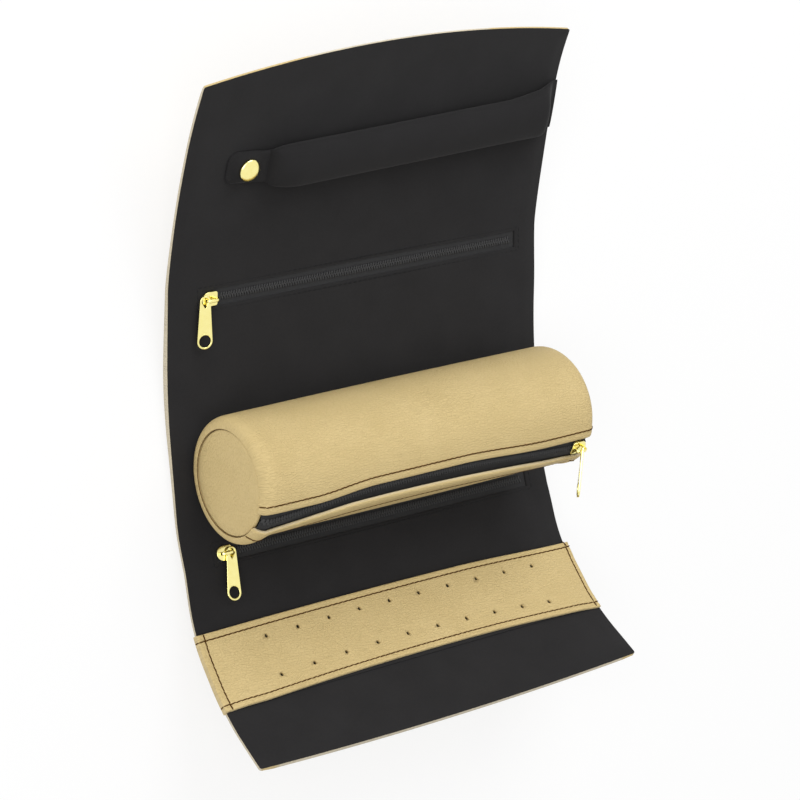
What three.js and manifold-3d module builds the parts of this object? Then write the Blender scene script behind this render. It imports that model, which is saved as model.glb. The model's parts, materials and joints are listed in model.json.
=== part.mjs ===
// Jewelry roll, lying open on its spine: a leather panel with a fabric lining that rolls up
// round a zipped pouch. X runs along the roll, Y up the open panel and Z out of the lining.
// The origin is the centre of the spine's outer face. Lengths are in millimetres.
import * as THREE from 'three';
import { mergeVertices } from 'three/addons/utils/BufferGeometryUtils.js';
import Module from 'manifold-3d';

// Panel: width, and the length of each stretch between two folds
const PANEL_WIDTH = 210;
const SPINE_LENGTH = 60;
const LOWER_LENGTH = 44.7;
const EARRING_LENGTH = 37.6;
const BOTTOM_FLAP_LENGTH = 29.7;
const UPPER_LENGTH = 54;
const MIDDLE_LENGTH = 34;
const RING_LENGTH = 38;
const TOP_FLAP_LENGTH = 21;
const TOP_EDGE_RISE = 10;
const BOTTOM_EDGE_RISE = 2.5;

// Folds as the roll lies open, in degrees towards the lining
const LOWER_FOLD = 11.8;
const EARRING_FOLD = 23.5;
const BOTTOM_FLAP_FOLD = 16;
const UPPER_FOLD = 8.5;
const MIDDLE_FOLD = 8.7;
const RING_FOLD = 4.8;
const TOP_FLAP_FOLD = 8.7;

// Layers of the panel, from the outside in
const COVER_THICKNESS = 1.3;
const POCKET_BACK_THICKNESS = 0.4;
const LINING_THICKNESS = 0.65;
const LAYER_GAP = 0.25;
const SEAT_GAP = 0.3;
const FOLD_GAP = 0.3;
const LINING_INSET = 1;
const PADDING_INSET = 6;

// Closing magnets between cover and lining
const MAGNET_DIAMETER = 10;
const MAGNET_THICKNESS = 1.4;
const MAGNET_SPREAD = 120;
const MAGNET_CLEARANCE = 0.3;

// Zips: coil on two tapes, slider and pull
const PANEL_ZIP_MARGIN = 13;
const LOWER_ZIP_FROM_FOLD = 12;
const UPPER_ZIP_FROM_FOLD = 11;
const PANEL_SLIDER_FROM_END = 8.2;
const TAPE_WIDTH = 9;
const TAPE_THICKNESS = 0.35;
const TAPE_HIDDEN_END = 6;
const COIL_WIDTH = 1.4;
const COIL_HEIGHT = 1;
const SLIDER_LENGTH = 8.4;
const SLIDER_WIDTH = 6.6;
const SLIDER_FRONT_THICKNESS = 0.7;
const SLIDER_REAR_THICKNESS = 0.5;
const SLIDER_FLANGE = 0.8;
const NECK_THICKNESS = 0.6;
const NECK_LENGTH = 2.6;
const SLOT_CLEARANCE = 0.7;
const BRIDGE_SPAN = 6.4;
const BRIDGE_BAR = 0.9;
const BRIDGE_CLEAR_HEIGHT = 2.3;
const PULL_THICKNESS = 1;
const PULL_WIDTH = 7;
const PULL_EYE_WIDTH = 4.6;
const PULL_EYE_HOLE = 3;
const PULL_HOLE = 5;
const PULL_REACH = 18;
const LOWER_PULL_TURN = 10;
const POUCH_PULL_TURN = 39;
const POUCH_PULL_HANG = 6;

// Pouch: a round tube with a zip along it and a disc sewn into each end
const POUCH_RADIUS = 29;
const POUCH_WALL = 2;
const POUCH_MARGIN = 10;
const POUCH_DROP = 4;
const POUCH_SHIFT = 2.6;
const POUCH_ZIP_TILT = 31;
const POUCH_LINING_THICKNESS = 0.5;
const POUCH_DISC_THICKNESS = 2.2;
const POUCH_DISC_INSET = 1.5;
const POUCH_SLIDER_FROM_END = 10;

// Earring strip: a raised band, sewn down at its two ends
const STRIP_SIDE_MARGIN = 0.4;
const STRIP_END_MARGIN = 0.3;
const STRIP_THICKNESS = 1.3;
const STRIP_BACKING_THICKNESS = 0.5;
const STRIP_SEWN_END = 8;
const STRIP_HOLE_COUNT = 10;
const STRIP_HOLE_PITCH = 16.9;
const STRIP_HOLE_DIAMETER = 2.2;
const STRIP_HOLE_SHIFT = 5.2;
const STRIP_HOLE_SIDES = 8;
const STRIP_ROW_SPACING = 19.4;
const STRIP_ROW_SHIFT = 1.6;

// Ring bar: a stuffed bar sewn to the right edge, with a snap tab at its left end
const RING_BAR_HALF_WIDTH = 10.2;
const RING_BAR_HALF_HEIGHT = 6.2;
const RING_BAR_LENGTH = 165;
const RING_BAR_MARGIN = 2;
const RING_BAR_RIGHT_HALF_WIDTH = 13.5;
const RING_BAR_LEFT_HALF_WIDTH = 7.4;
const RING_BAR_END_HALF_HEIGHT = 0.7;
const RING_BAR_RIGHT_TAPER = 22;
const RING_BAR_LEFT_TAPER = 15;
const RING_BAR_FROM_FOLD = 17.5;
const RING_BAR_SKEW = 4.5;
const RING_BAR_SECTIONS = 22;
const RING_BAR_SIDES = 20;
const TAB_LENGTH = 21;
const TAB_WIDTH = 15;
const TAB_THICKNESS = 1.2;
const TAB_CORNER = 5;
const SNAP_FROM_TAB_END = 11;
const SNAP_CAP_DIAMETER = 10.4;
const SNAP_CAP_HEIGHT = 2.2;
const SNAP_CAP_RIM = 0.8;
const SNAP_SOCKET_DIAMETER = 8.4;
const SNAP_SOCKET_HEIGHT = 1.2;
const SNAP_STUD_BASE_DIAMETER = 9;
const SNAP_STUD_BASE_HEIGHT = 0.5;
const SNAP_KNOB_DIAMETER = 4.4;
const SNAP_KNOB_NECK = 3.5;
const SNAP_KNOB_HEIGHT = 1.1;
const SNAP_CLEARANCE = 0.3;
const SNAP_SHANK_DIAMETER = 2.8;

// Heights through the panel, from its outer face
const CORE_BOTTOM = COVER_THICKNESS + LAYER_GAP;
const POCKET_BACK_TOP = CORE_BOTTOM + POCKET_BACK_THICKNESS;
const SLIDER_REAR_BOTTOM = POCKET_BACK_TOP + LAYER_GAP;
const TAPE_BOTTOM = SLIDER_REAR_BOTTOM + SLIDER_REAR_THICKNESS + LAYER_GAP;
const TAPE_TOP = TAPE_BOTTOM + TAPE_THICKNESS;
const LINING_BOTTOM = TAPE_TOP + LAYER_GAP;
const PANEL_THICKNESS = LINING_BOTTOM + LINING_THICKNESS;

// Heights of a zip, from the top of its tape
const COIL_BOTTOM = LAYER_GAP;
const COIL_TOP = COIL_BOTTOM + COIL_HEIGHT;
const SLIDER_FRONT_BOTTOM = COIL_TOP + LAYER_GAP;
const SLIDER_FRONT_TOP = SLIDER_FRONT_BOTTOM + SLIDER_FRONT_THICKNESS;
const BRIDGE_BAR_HEIGHT = SLIDER_FRONT_TOP + BRIDGE_CLEAR_HEIGHT;
const ZIP_CENTRE_GAP = NECK_THICKNESS / 2 + LAYER_GAP;
const SLOT_HEIGHT = SLIDER_WIDTH + 2 * SLOT_CLEARANCE;

// Lengths along the roll, all within the panel's width
const PANEL_ZIP_LENGTH = PANEL_WIDTH - 2 * PANEL_ZIP_MARGIN;
const POUCH_LENGTH = PANEL_WIDTH - 2 * POUCH_MARGIN;
const STRIP_LENGTH = PANEL_WIDTH - 2 * STRIP_END_MARGIN;
const STRIP_WIDTH = EARRING_LENGTH - 2 * STRIP_SIDE_MARGIN;
const RING_BAR_RIGHT_X = PANEL_WIDTH / 2 - RING_BAR_MARGIN;
const RING_BAR_LEFT_X = RING_BAR_RIGHT_X - RING_BAR_LENGTH;

const ROUND_SEGMENTS = 20;
const SMALL_ARC_SEGMENTS = 6;
const RADIANS = Math.PI / 180;

const wasm = await Module();
wasm.setup();

const finish = (color, roughness, metalness) =>
  new THREE.MeshStandardMaterial({ color, roughness, metalness });

const LEATHER = finish(0xd2bb85, 0.55, 0);
const LINING = finish(0x2d2c2d, 0.95, 0);
const WADDING = finish(0xd9d5c9, 0.95, 0);
const ZIP_TAPE = finish(0x232326, 0.85, 0);
const GOLD = finish(0xe6c45c, 0.22, 1);
const STEEL = finish(0x9a9ca0, 0.35, 1);

const roll = new THREE.Group();

function add(group, name, geometry, material) {
  const mesh = new THREE.Mesh(geometry, material);
  mesh.name = name;
  group.add(mesh);
  return mesh;
}

// Solids for cutting and joining
function toSolid(geometry) {
  const bare = new THREE.BufferGeometry();
  bare.setAttribute('position', geometry.getAttribute('position').clone());
  if (geometry.index) {
    bare.setIndex(geometry.index.clone());
  }
  const merged = mergeVertices(bare, 1e-5);
  return new wasm.Manifold(new wasm.Mesh({
    numProp: 3,
    vertProperties: new Float32Array(merged.getAttribute('position').array),
    triVerts: new Uint32Array(merged.index.array),
  }));
}

function fromSolid(solid) {
  const mesh = solid.getMesh();
  const geometry = new THREE.BufferGeometry();
  geometry.setAttribute('position', new THREE.Float32BufferAttribute(mesh.vertProperties, 3));
  geometry.setIndex(Array.from(mesh.triVerts));
  geometry.computeVertexNormals();
  return geometry;
}

function cut(body, tools) {
  const solid = tools.reduce((left, tool) => left.subtract(toSolid(tool)), toSolid(body));
  return fromSolid(solid);
}

function join(pieces) {
  const [first, ...rest] = pieces.map(toSolid);
  return fromSolid(rest.reduce((whole, piece) => whole.add(piece), first));
}

// Plain shapes
function slab(x0, x1, y0, y1, z0, z1) {
  const box = new THREE.BoxGeometry(x1 - x0, y1 - y0, z1 - z0);
  box.translate((x0 + x1) / 2, (y0 + y1) / 2, (z0 + z1) / 2);
  return box;
}

function raise(shape, z0, z1, curveSegments = ROUND_SEGMENTS) {
  const depth = z1 - z0;
  const body = new THREE.ExtrudeGeometry(shape, { depth, bevelEnabled: false, curveSegments });
  body.translate(0, 0, z0);
  return body;
}

function disc(diameter, x, y, z0, z1, sides = ROUND_SEGMENTS) {
  const body = new THREE.CylinderGeometry(diameter / 2, diameter / 2, z1 - z0, sides);
  body.rotateX(Math.PI / 2);
  body.translate(x, y, (z0 + z1) / 2);
  return body;
}

// A section drawn across the roll, in Y and Z, run along X
function runAlongX(shape, x0, x1, curveSegments) {
  const body = raise(shape, x0, x1, curveSegments);
  const across = new THREE.Vector3(0, 1, 0);
  const up = new THREE.Vector3(0, 0, 1);
  const along = new THREE.Vector3(1, 0, 0);
  body.applyMatrix4(new THREE.Matrix4().makeBasis(across, up, along));
  return body;
}

function turned(points) {
  const profile = points.map(([radius, height]) => new THREE.Vector2(radius, height));
  const body = new THREE.LatheGeometry(profile, ROUND_SEGMENTS);
  body.rotateX(Math.PI / 2);
  return body;
}

// Outline of one stretch of the panel; its outer edge may bow out by rise
function stretchOutline(width, yFold, yEdge, rise) {
  const half = width / 2;
  const shape = new THREE.Shape();
  const way = Math.sign(yEdge - yFold);
  shape.moveTo(-half, yFold);
  shape.lineTo(half, yFold);
  shape.lineTo(half, yEdge);
  if (rise > 0) {
    const radius = (half * half + rise * rise) / (2 * rise);
    const sweep = Math.asin(half / radius);
    const centre = yEdge + way * (rise - radius);
    const top = way * Math.PI / 2;
    shape.absarc(0, centre, radius, top - way * sweep, top + way * sweep, way < 0);
  } else {
    shape.lineTo(-half, yEdge);
  }
  shape.closePath();
  return shape;
}

// One stretch: cover, lining and what lies between them
function panelStretch(group, stretch) {
  const { name, yFold, yEdge, rise, slotY, magnets, free } = stretch;
  const way = Math.sign(yEdge - yFold);
  const near = yFold + way * FOLD_GAP / 2;
  const far = free ? yEdge : yEdge - way * FOLD_GAP / 2;
  const linedFar = free ? far - way * LINING_INSET : far;
  const linedWidth = PANEL_WIDTH - 2 * LINING_INSET;

  const coverShape = stretchOutline(PANEL_WIDTH, near, far, rise);
  add(group, `cover_${name}`, raise(coverShape, 0, COVER_THICKNESS), LEATHER);

  const liningShape = stretchOutline(linedWidth, near, linedFar, rise);
  let lining = raise(liningShape, LINING_BOTTOM, PANEL_THICKNESS);
  if (slotY !== undefined) {
    const slotEnd = PANEL_ZIP_LENGTH / 2;
    const slotTop = slotY + SLOT_HEIGHT / 2;
    const slot = slab(-slotEnd, slotEnd, slotTop - SLOT_HEIGHT, slotTop, 0, 2 * PANEL_THICKNESS);
    lining = cut(lining, [slot]);
  }
  add(group, `lining_${name}`, lining, LINING);

  const half = PANEL_WIDTH / 2 - PADDING_INSET;
  const coreFar = free ? far - way * PADDING_INSET : far;
  const [y0, y1] = [near, coreFar].sort((a, b) => a - b);
  if (slotY !== undefined) {
    add(group, `pocket_back_${name}`, slab(-half, half, y0, y1, CORE_BOTTOM, POCKET_BACK_TOP), LINING);
    return;
  }
  let core = slab(-half, half, y0, y1, CORE_BOTTOM, LINING_BOTTOM - LAYER_GAP);
  if (magnets) {
    const pocket = MAGNET_DIAMETER + 2 * MAGNET_CLEARANCE;
    const y = (y0 + y1) / 2;
    const bottom = (CORE_BOTTOM + LINING_BOTTOM - LAYER_GAP - MAGNET_THICKNESS) / 2;
    const places = { left: -MAGNET_SPREAD / 2, right: MAGNET_SPREAD / 2 };
    core = cut(core, Object.values(places).map((x) => disc(pocket, x, y, 0, PANEL_THICKNESS)));
    for (const [side, x] of Object.entries(places)) {
      const magnet = disc(MAGNET_DIAMETER, x, y, bottom, bottom + MAGNET_THICKNESS);
      add(group, `magnet_${name}_${side}`, magnet, STEEL);
    }
  }
  add(group, `padding_${name}`, core, WADDING);
}

// A fold: what is added to the returned group is placed as on the flat panel
function fold(parent, y, degrees) {
  const hinge = new THREE.Group();
  hinge.position.set(0, y, PANEL_THICKNESS);
  hinge.rotation.x = degrees * RADIANS;
  const flat = new THREE.Group();
  flat.position.set(0, -y, -PANEL_THICKNESS);
  hinge.add(flat);
  parent.add(hinge);
  return flat;
}

// Zip slider: two plates joined by a neck, with a bridge for the pull
function sliderBody(rearTop) {
  const half = SLIDER_LENGTH / 2;
  const round = SLIDER_WIDTH / 2;
  const outline = new THREE.Shape();
  outline.moveTo(-half + round, -round);
  outline.lineTo(half - round / 2, -round);
  outline.absarc(half - round / 2, -round / 2, round / 2, -Math.PI / 2, 0, false);
  outline.absarc(half - round / 2, round / 2, round / 2, 0, Math.PI / 2, false);
  outline.lineTo(-half + round, round);
  outline.absarc(-half + round, 0, round, Math.PI / 2, 1.5 * Math.PI, false);

  const front = raise(outline, SLIDER_FRONT_BOTTOM, SLIDER_FRONT_TOP, SMALL_ARC_SEGMENTS);
  const rear = raise(outline, rearTop - SLIDER_REAR_THICKNESS, rearTop, SMALL_ARC_SEGMENTS);
  const neckEnd = -half + round / 2 + NECK_LENGTH;
  const neck = slab(-half + round / 2, neckEnd, -NECK_THICKNESS / 2, NECK_THICKNESS / 2,
    rearTop - SLIDER_REAR_THICKNESS / 2, SLIDER_FRONT_TOP - SLIDER_FRONT_THICKNESS / 2);
  const flangeBack = half - round / 2;
  const flanges = [-1, 1].map((side) => {
    const [y0, y1] = [side * round, side * (round - SLIDER_FLANGE)].sort((a, b) => a - b);
    return slab(-half + round, flangeBack, y0, y1, LAYER_GAP, SLIDER_FRONT_TOP - SLIDER_FRONT_THICKNESS / 2);
  });

  const reach = BRIDGE_SPAN / 2;
  const crown = BRIDGE_BAR_HEIGHT + BRIDGE_BAR;
  const foot = SLIDER_FRONT_TOP - SLIDER_FRONT_THICKNESS / 2;
  const arch = new THREE.Shape();
  arch.moveTo(-reach, foot);
  arch.lineTo(-reach + BRIDGE_BAR, foot);
  arch.lineTo(-reach + BRIDGE_BAR, BRIDGE_BAR_HEIGHT);
  arch.lineTo(reach - BRIDGE_BAR, BRIDGE_BAR_HEIGHT);
  arch.lineTo(reach - BRIDGE_BAR, foot);
  arch.lineTo(reach, foot);
  arch.lineTo(reach, crown - BRIDGE_BAR);
  arch.lineTo(reach - BRIDGE_BAR, crown);
  arch.lineTo(-reach + BRIDGE_BAR, crown);
  arch.lineTo(-reach, crown - BRIDGE_BAR);
  const bridge = raise(arch, -BRIDGE_BAR / 2, BRIDGE_BAR / 2);
  bridge.rotateX(Math.PI / 2);
  return join([front, rear, neck, ...flanges, bridge]);
}

// Zip pull, flat in X and Y, with its eye at the origin and its reach towards -Y
function pullPlate() {
  const eye = PULL_EYE_WIDTH / 2;
  const end = PULL_WIDTH / 2;
  const shape = new THREE.Shape();
  shape.moveTo(-eye, 0);
  shape.lineTo(-end, -PULL_REACH);
  shape.absarc(0, -PULL_REACH, end, Math.PI, 2 * Math.PI, false);
  shape.lineTo(eye, 0);
  shape.absarc(0, 0, eye, 0, Math.PI, false);
  const eyeHole = new THREE.Path();
  eyeHole.absarc(0, 0, PULL_EYE_HOLE / 2, 0, 2 * Math.PI, true);
  const endHole = new THREE.Path();
  endHole.absarc(0, -PULL_REACH, PULL_HOLE / 2, 0, 2 * Math.PI, true);
  shape.holes.push(eyeHole, endHole);
  return raise(shape, -PULL_THICKNESS / 2, PULL_THICKNESS / 2, 2 * SMALL_ARC_SEGMENTS);
}

function coils(group, name, length) {
  for (const [side, way] of [['upper', 1], ['lower', -1]]) {
    const edges = [way * ZIP_CENTRE_GAP, way * (ZIP_CENTRE_GAP + COIL_WIDTH)].sort((a, b) => a - b);
    const coil = slab(-length / 2, length / 2, edges[0], edges[1], COIL_BOTTOM, COIL_TOP);
    add(group, `coil_${name}_${side}`, coil, ZIP_TAPE);
  }
}

// Zip of a flat pocket: its pull lies flat, with its eye round one leg of the bridge
function panelZip(parent, name, y, legSide, turn) {
  const zip = new THREE.Group();
  zip.position.set(0, y, TAPE_TOP);
  parent.add(zip);
  const half = PANEL_ZIP_LENGTH / 2;
  const tapeHalf = half + TAPE_HIDDEN_END;
  for (const [side, way] of [['upper', 1], ['lower', -1]]) {
    const edges = [way * ZIP_CENTRE_GAP, way * (ZIP_CENTRE_GAP + TAPE_WIDTH)].sort((a, b) => a - b);
    const tape = slab(-tapeHalf, tapeHalf, edges[0], edges[1], -TAPE_THICKNESS, 0);
    add(zip, `tape_${name}_${side}`, tape, ZIP_TAPE);
  }
  coils(zip, name, PANEL_ZIP_LENGTH - 2 * SEAT_GAP);

  const slider = new THREE.Group();
  slider.position.x = -half + PANEL_SLIDER_FROM_END;
  zip.add(slider);
  add(slider, `slider_${name}`, sliderBody(-TAPE_THICKNESS - LAYER_GAP), GOLD);
  const pull = add(slider, `pull_${name}`, pullPlate(), GOLD);
  const leg = legSide * (BRIDGE_SPAN - BRIDGE_BAR) / 2;
  pull.position.set(leg, 0, SLIDER_FRONT_TOP + SEAT_GAP + PULL_THICKNESS / 2);
  pull.rotation.z = -turn * RADIANS;
}

// Ring sector between two radii, open by the given half angle at the top
function openRing(outer, inner, halfAngle) {
  const start = Math.PI / 2 + halfAngle;
  const end = 2.5 * Math.PI - halfAngle;
  const shape = new THREE.Shape();
  shape.absarc(0, 0, outer, start, end, false);
  shape.absarc(0, 0, inner, end, start, true);
  shape.closePath();
  return shape;
}

// Strip of tape that follows the inside of the pouch on one side of its zip
function curvedTape(outer, way) {
  const near = Math.PI / 2 - way * Math.asin(ZIP_CENTRE_GAP / outer);
  const far = near - way * TAPE_WIDTH / outer;
  const shape = new THREE.Shape();
  shape.absarc(0, 0, outer, near, far, way > 0);
  shape.absarc(0, 0, outer - TAPE_THICKNESS, far, near, way < 0);
  shape.closePath();
  return shape;
}

function pouch(parent) {
  const axis = new THREE.Group();
  axis.position.set(-POUCH_SHIFT, -POUCH_DROP, PANEL_THICKNESS + SEAT_GAP + POUCH_RADIUS);
  axis.rotation.x = POUCH_ZIP_TILT * RADIANS;
  parent.add(axis);

  const half = POUCH_LENGTH / 2;
  const inner = POUCH_RADIUS - POUCH_WALL;
  const mouth = SLOT_HEIGHT / 2 + SEAT_GAP;
  const tube = openRing(POUCH_RADIUS, inner, Math.asin(mouth / POUCH_RADIUS));
  add(axis, 'pouch_tube', runAlongX(tube, -half, half, 2 * ROUND_SEGMENTS), LEATHER);

  const sealed = inner - SEAT_GAP;
  const discOuter = half - POUCH_DISC_INSET;
  const discInner = discOuter - POUCH_DISC_THICKNESS;
  for (const [side, way] of [['left', -1], ['right', 1]]) {
    const end = disc(2 * sealed, 0, 0, 0, POUCH_DISC_THICKNESS, 2 * ROUND_SEGMENTS);
    end.rotateY(Math.PI / 2);
    end.translate(way > 0 ? discInner : -discOuter, 0, 0);
    add(axis, `pouch_end_${side}`, end, LEATHER);
  }

  const innerHalf = discInner - SEAT_GAP;
  const tapeAngle = (ZIP_CENTRE_GAP + TAPE_WIDTH + 2 * SEAT_GAP) / (sealed - TAPE_THICKNESS);
  const lining = openRing(sealed, sealed - POUCH_LINING_THICKNESS, tapeAngle);
  add(axis, 'pouch_lining', runAlongX(lining, -innerHalf, innerHalf, 2 * ROUND_SEGMENTS), LINING);

  for (const [side, way] of [['upper', 1], ['lower', -1]]) {
    const tape = runAlongX(curvedTape(sealed, way), -innerHalf, innerHalf, SMALL_ARC_SEGMENTS);
    add(axis, `tape_pouch_${side}`, tape, ZIP_TAPE);
  }
  const zip = new THREE.Group();
  zip.position.z = sealed;
  axis.add(zip);
  coils(zip, 'pouch', 2 * innerHalf);

  // The tape falls away from the slider's rear plate at its edges
  const tapeInside = sealed - TAPE_THICKNESS;
  const drop = sealed - Math.sqrt(tapeInside * tapeInside - SLIDER_WIDTH * SLIDER_WIDTH / 4);
  const slider = new THREE.Group();
  slider.position.x = half - POUCH_SLIDER_FROM_END;
  slider.rotation.z = Math.PI;
  zip.add(slider);
  add(slider, 'slider_pouch', sliderBody(-drop - LAYER_GAP), GOLD);

  // The pull hangs from the bridge's bar, towards the bottom flap
  const hang = new THREE.Group();
  hang.position.set(half - POUCH_SLIDER_FROM_END, 0, BRIDGE_BAR_HEIGHT + BRIDGE_BAR / 2);
  hang.rotation.x = (POUCH_PULL_HANG - POUCH_ZIP_TILT) * RADIANS;
  zip.add(hang);
  const pull = add(hang, 'pull_pouch', pullPlate(), GOLD);
  pull.rotation.y = Math.PI / 2 - POUCH_PULL_TURN * RADIANS;
}

function stripHoles() {
  const holes = [];
  const first = STRIP_HOLE_SHIFT - STRIP_HOLE_PITCH * (STRIP_HOLE_COUNT - 1) / 2;
  for (const row of [-1, 1]) {
    for (let index = 0; index < STRIP_HOLE_COUNT; index += 1) {
      const y = STRIP_ROW_SHIFT + row * STRIP_ROW_SPACING / 2;
      const x = first + index * STRIP_HOLE_PITCH;
      holes.push(disc(STRIP_HOLE_DIAMETER, x, y, -PANEL_THICKNESS, PANEL_THICKNESS, STRIP_HOLE_SIDES));
    }
  }
  return holes;
}

function earringStrip(parent, yMiddle) {
  const strip = new THREE.Group();
  strip.position.set(0, yMiddle, PANEL_THICKNESS + SEAT_GAP);
  parent.add(strip);
  const half = STRIP_LENGTH / 2;
  const across = STRIP_WIDTH / 2;
  const bandBottom = STRIP_BACKING_THICKNESS + LAYER_GAP;
  const bandTop = bandBottom + STRIP_THICKNESS;
  const band = slab(-half, half, -across, across, bandBottom, bandTop);
  const sewn = half - STRIP_SEWN_END;
  const ends = [[-half, -sewn], [sewn, half]].map(([x0, x1]) => slab(x0, x1, -across, across, 0, bandTop));
  const whole = join([band, ...ends]);
  const holes = stripHoles();
  add(strip, 'earring_strip', cut(whole, holes), LEATHER);
  const backingHalf = sewn - SEAT_GAP;
  const backing = slab(-backingHalf, backingHalf, -across, across, 0, STRIP_BACKING_THICKNESS);
  add(strip, 'earring_strip_backing', cut(backing, holes), LINING);
}

// Stuffed bar: oval sections that swell from a flat sewn end to full size and back
function stuffedBar(tabMiddle) {
  const sections = RING_BAR_SECTIONS;
  const around = RING_BAR_SIDES;
  const swell = (distance, taper) => {
    const share = Math.min(1, distance / taper);
    return Math.sqrt(1 - (1 - share) * (1 - share));
  };
  const points = [];
  for (let i = 0; i <= sections; i += 1) {
    const eased = (1 - Math.cos(Math.PI * i / sections)) / 2;
    const x = RING_BAR_LEFT_X + RING_BAR_LENGTH * eased;
    const left = swell(x - RING_BAR_LEFT_X, RING_BAR_LEFT_TAPER);
    const right = swell(RING_BAR_RIGHT_X - x, RING_BAR_RIGHT_TAPER);
    const rise = RING_BAR_HALF_HEIGHT - RING_BAR_END_HALF_HEIGHT;
    const tall = RING_BAR_END_HALF_HEIGHT + rise * Math.min(left, right);
    const wide = RING_BAR_HALF_WIDTH
      + (RING_BAR_LEFT_HALF_WIDTH - RING_BAR_HALF_WIDTH) * (1 - left)
      + (RING_BAR_RIGHT_HALF_WIDTH - RING_BAR_HALF_WIDTH) * (1 - right);
    const middle = tall + (tabMiddle - RING_BAR_END_HALF_HEIGHT) * (1 - left);
    const y = RING_BAR_SKEW * (eased - 0.5);
    for (let j = 0; j < around; j += 1) {
      const angle = 2 * Math.PI * j / around;
      points.push(x, y + wide * Math.cos(angle), middle + tall * Math.sin(angle));
    }
  }
  const faces = [];
  for (let i = 0; i < sections; i += 1) {
    for (let j = 0; j < around; j += 1) {
      const a = i * around + j;
      const b = i * around + (j + 1) % around;
      faces.push(a, b, b + around, a, b + around, a + around);
    }
  }
  for (let j = 1; j < around - 1; j += 1) {
    const last = sections * around;
    faces.push(0, j + 1, j, last, last + j, last + j + 1);
  }
  const bar = new THREE.BufferGeometry();
  bar.setAttribute('position', new THREE.Float32BufferAttribute(points, 3));
  bar.setIndex(faces);
  bar.computeVertexNormals();
  return bar;
}

function ringBar(parent, yMiddle) {
  const bar = new THREE.Group();
  bar.position.set(0, yMiddle, PANEL_THICKNESS + SEAT_GAP);
  parent.add(bar);

  // The snap, from the lining up: stud, socket, tab and cap
  const baseTop = SNAP_STUD_BASE_HEIGHT;
  const knobTop = baseTop + SNAP_KNOB_HEIGHT;
  const socketBottom = baseTop + LAYER_GAP;
  const socketTop = socketBottom + SNAP_SOCKET_HEIGHT;
  const tabBottom = socketTop + LAYER_GAP;
  const tabTop = tabBottom + TAB_THICKNESS;
  const capBottom = tabTop + LAYER_GAP;
  const tabRight = RING_BAR_LEFT_X - SEAT_GAP;
  const tabLeft = tabRight - TAB_LENGTH;
  const snap = new THREE.Group();
  snap.position.set(tabLeft + SNAP_FROM_TAB_END, -RING_BAR_SKEW / 2, 0);
  bar.add(snap);

  add(bar, 'ring_bar_cushion', stuffedBar((tabBottom + tabTop) / 2), LINING);

  const across = TAB_WIDTH / 2;
  const outline = new THREE.Shape();
  outline.moveTo(tabRight, -across);
  outline.lineTo(tabRight, across);
  outline.lineTo(tabLeft + TAB_CORNER, across);
  outline.absarc(tabLeft + TAB_CORNER, across - TAB_CORNER, TAB_CORNER, Math.PI / 2, Math.PI, false);
  outline.absarc(tabLeft + TAB_CORNER, TAB_CORNER - across, TAB_CORNER, Math.PI, 1.5 * Math.PI, false);
  outline.closePath();
  const shankHole = disc(SNAP_SHANK_DIAMETER + 2 * SNAP_CLEARANCE, snap.position.x, 0, 0, 2 * tabTop);
  const flatTab = raise(outline, tabBottom, tabTop, SMALL_ARC_SEGMENTS);
  const tab = add(bar, 'ring_bar_tab', cut(flatTab, [shankHole]), LINING);
  tab.position.y = -RING_BAR_SKEW / 2;

  const capRadius = SNAP_CAP_DIAMETER / 2;
  const shank = SNAP_SHANK_DIAMETER / 2;
  const rimTop = capBottom + SNAP_CAP_RIM;
  const domeHeight = SNAP_CAP_HEIGHT - SNAP_CAP_RIM;
  const dome = [0, 30, 60].map((degrees) => [
    capRadius * Math.cos(degrees * RADIANS),
    rimTop + domeHeight * Math.sin(degrees * RADIANS),
  ]);
  add(snap, 'snap_cap', turned([
    [0, knobTop + SNAP_CLEARANCE],
    [shank, knobTop + SNAP_CLEARANCE],
    [shank, capBottom],
    [capRadius, capBottom],
    ...dome,
    [0, rimTop + domeHeight],
  ]), GOLD);

  const bore = SNAP_KNOB_DIAMETER / 2 + SNAP_CLEARANCE;
  const socket = SNAP_SOCKET_DIAMETER / 2;
  add(snap, 'snap_socket', turned([
    [bore, socketBottom],
    [socket, socketBottom],
    [socket, socketTop],
    [bore, socketTop],
    [bore, socketBottom],
  ]), GOLD);

  const base = SNAP_STUD_BASE_DIAMETER / 2;
  const knob = SNAP_KNOB_DIAMETER / 2;
  const neck = SNAP_KNOB_NECK / 2;
  add(snap, 'snap_stud', turned([
    [0, 0],
    [base, 0],
    [base, baseTop],
    [neck, baseTop],
    [knob, (baseTop + knobTop) / 2],
    [neck, knobTop],
    [0, knobTop],
  ]), GOLD);
}

// Places of the folds and edges on the flat panel
const lowerFoldY = -SPINE_LENGTH / 2;
const earringFoldY = lowerFoldY - LOWER_LENGTH;
const bottomFoldY = earringFoldY - EARRING_LENGTH;
const bottomEdgeY = bottomFoldY - BOTTOM_FLAP_LENGTH;
const upperFoldY = SPINE_LENGTH / 2;
const middleFoldY = upperFoldY + UPPER_LENGTH;
const ringFoldY = middleFoldY + MIDDLE_LENGTH;
const topFoldY = ringFoldY + RING_LENGTH;
const topEdgeY = topFoldY + TOP_FLAP_LENGTH;
const lowerZipY = lowerFoldY - LOWER_ZIP_FROM_FOLD;
const upperZipY = middleFoldY - UPPER_ZIP_FROM_FOLD;

panelStretch(roll, { name: 'spine', yFold: lowerFoldY, yEdge: upperFoldY, rise: 0 });
pouch(roll);

const lower = fold(roll, lowerFoldY, -LOWER_FOLD);
panelStretch(lower, { name: 'lower', yFold: lowerFoldY, yEdge: earringFoldY, rise: 0, slotY: lowerZipY });
panelZip(lower, 'lower', lowerZipY, 1, LOWER_PULL_TURN);

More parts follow.
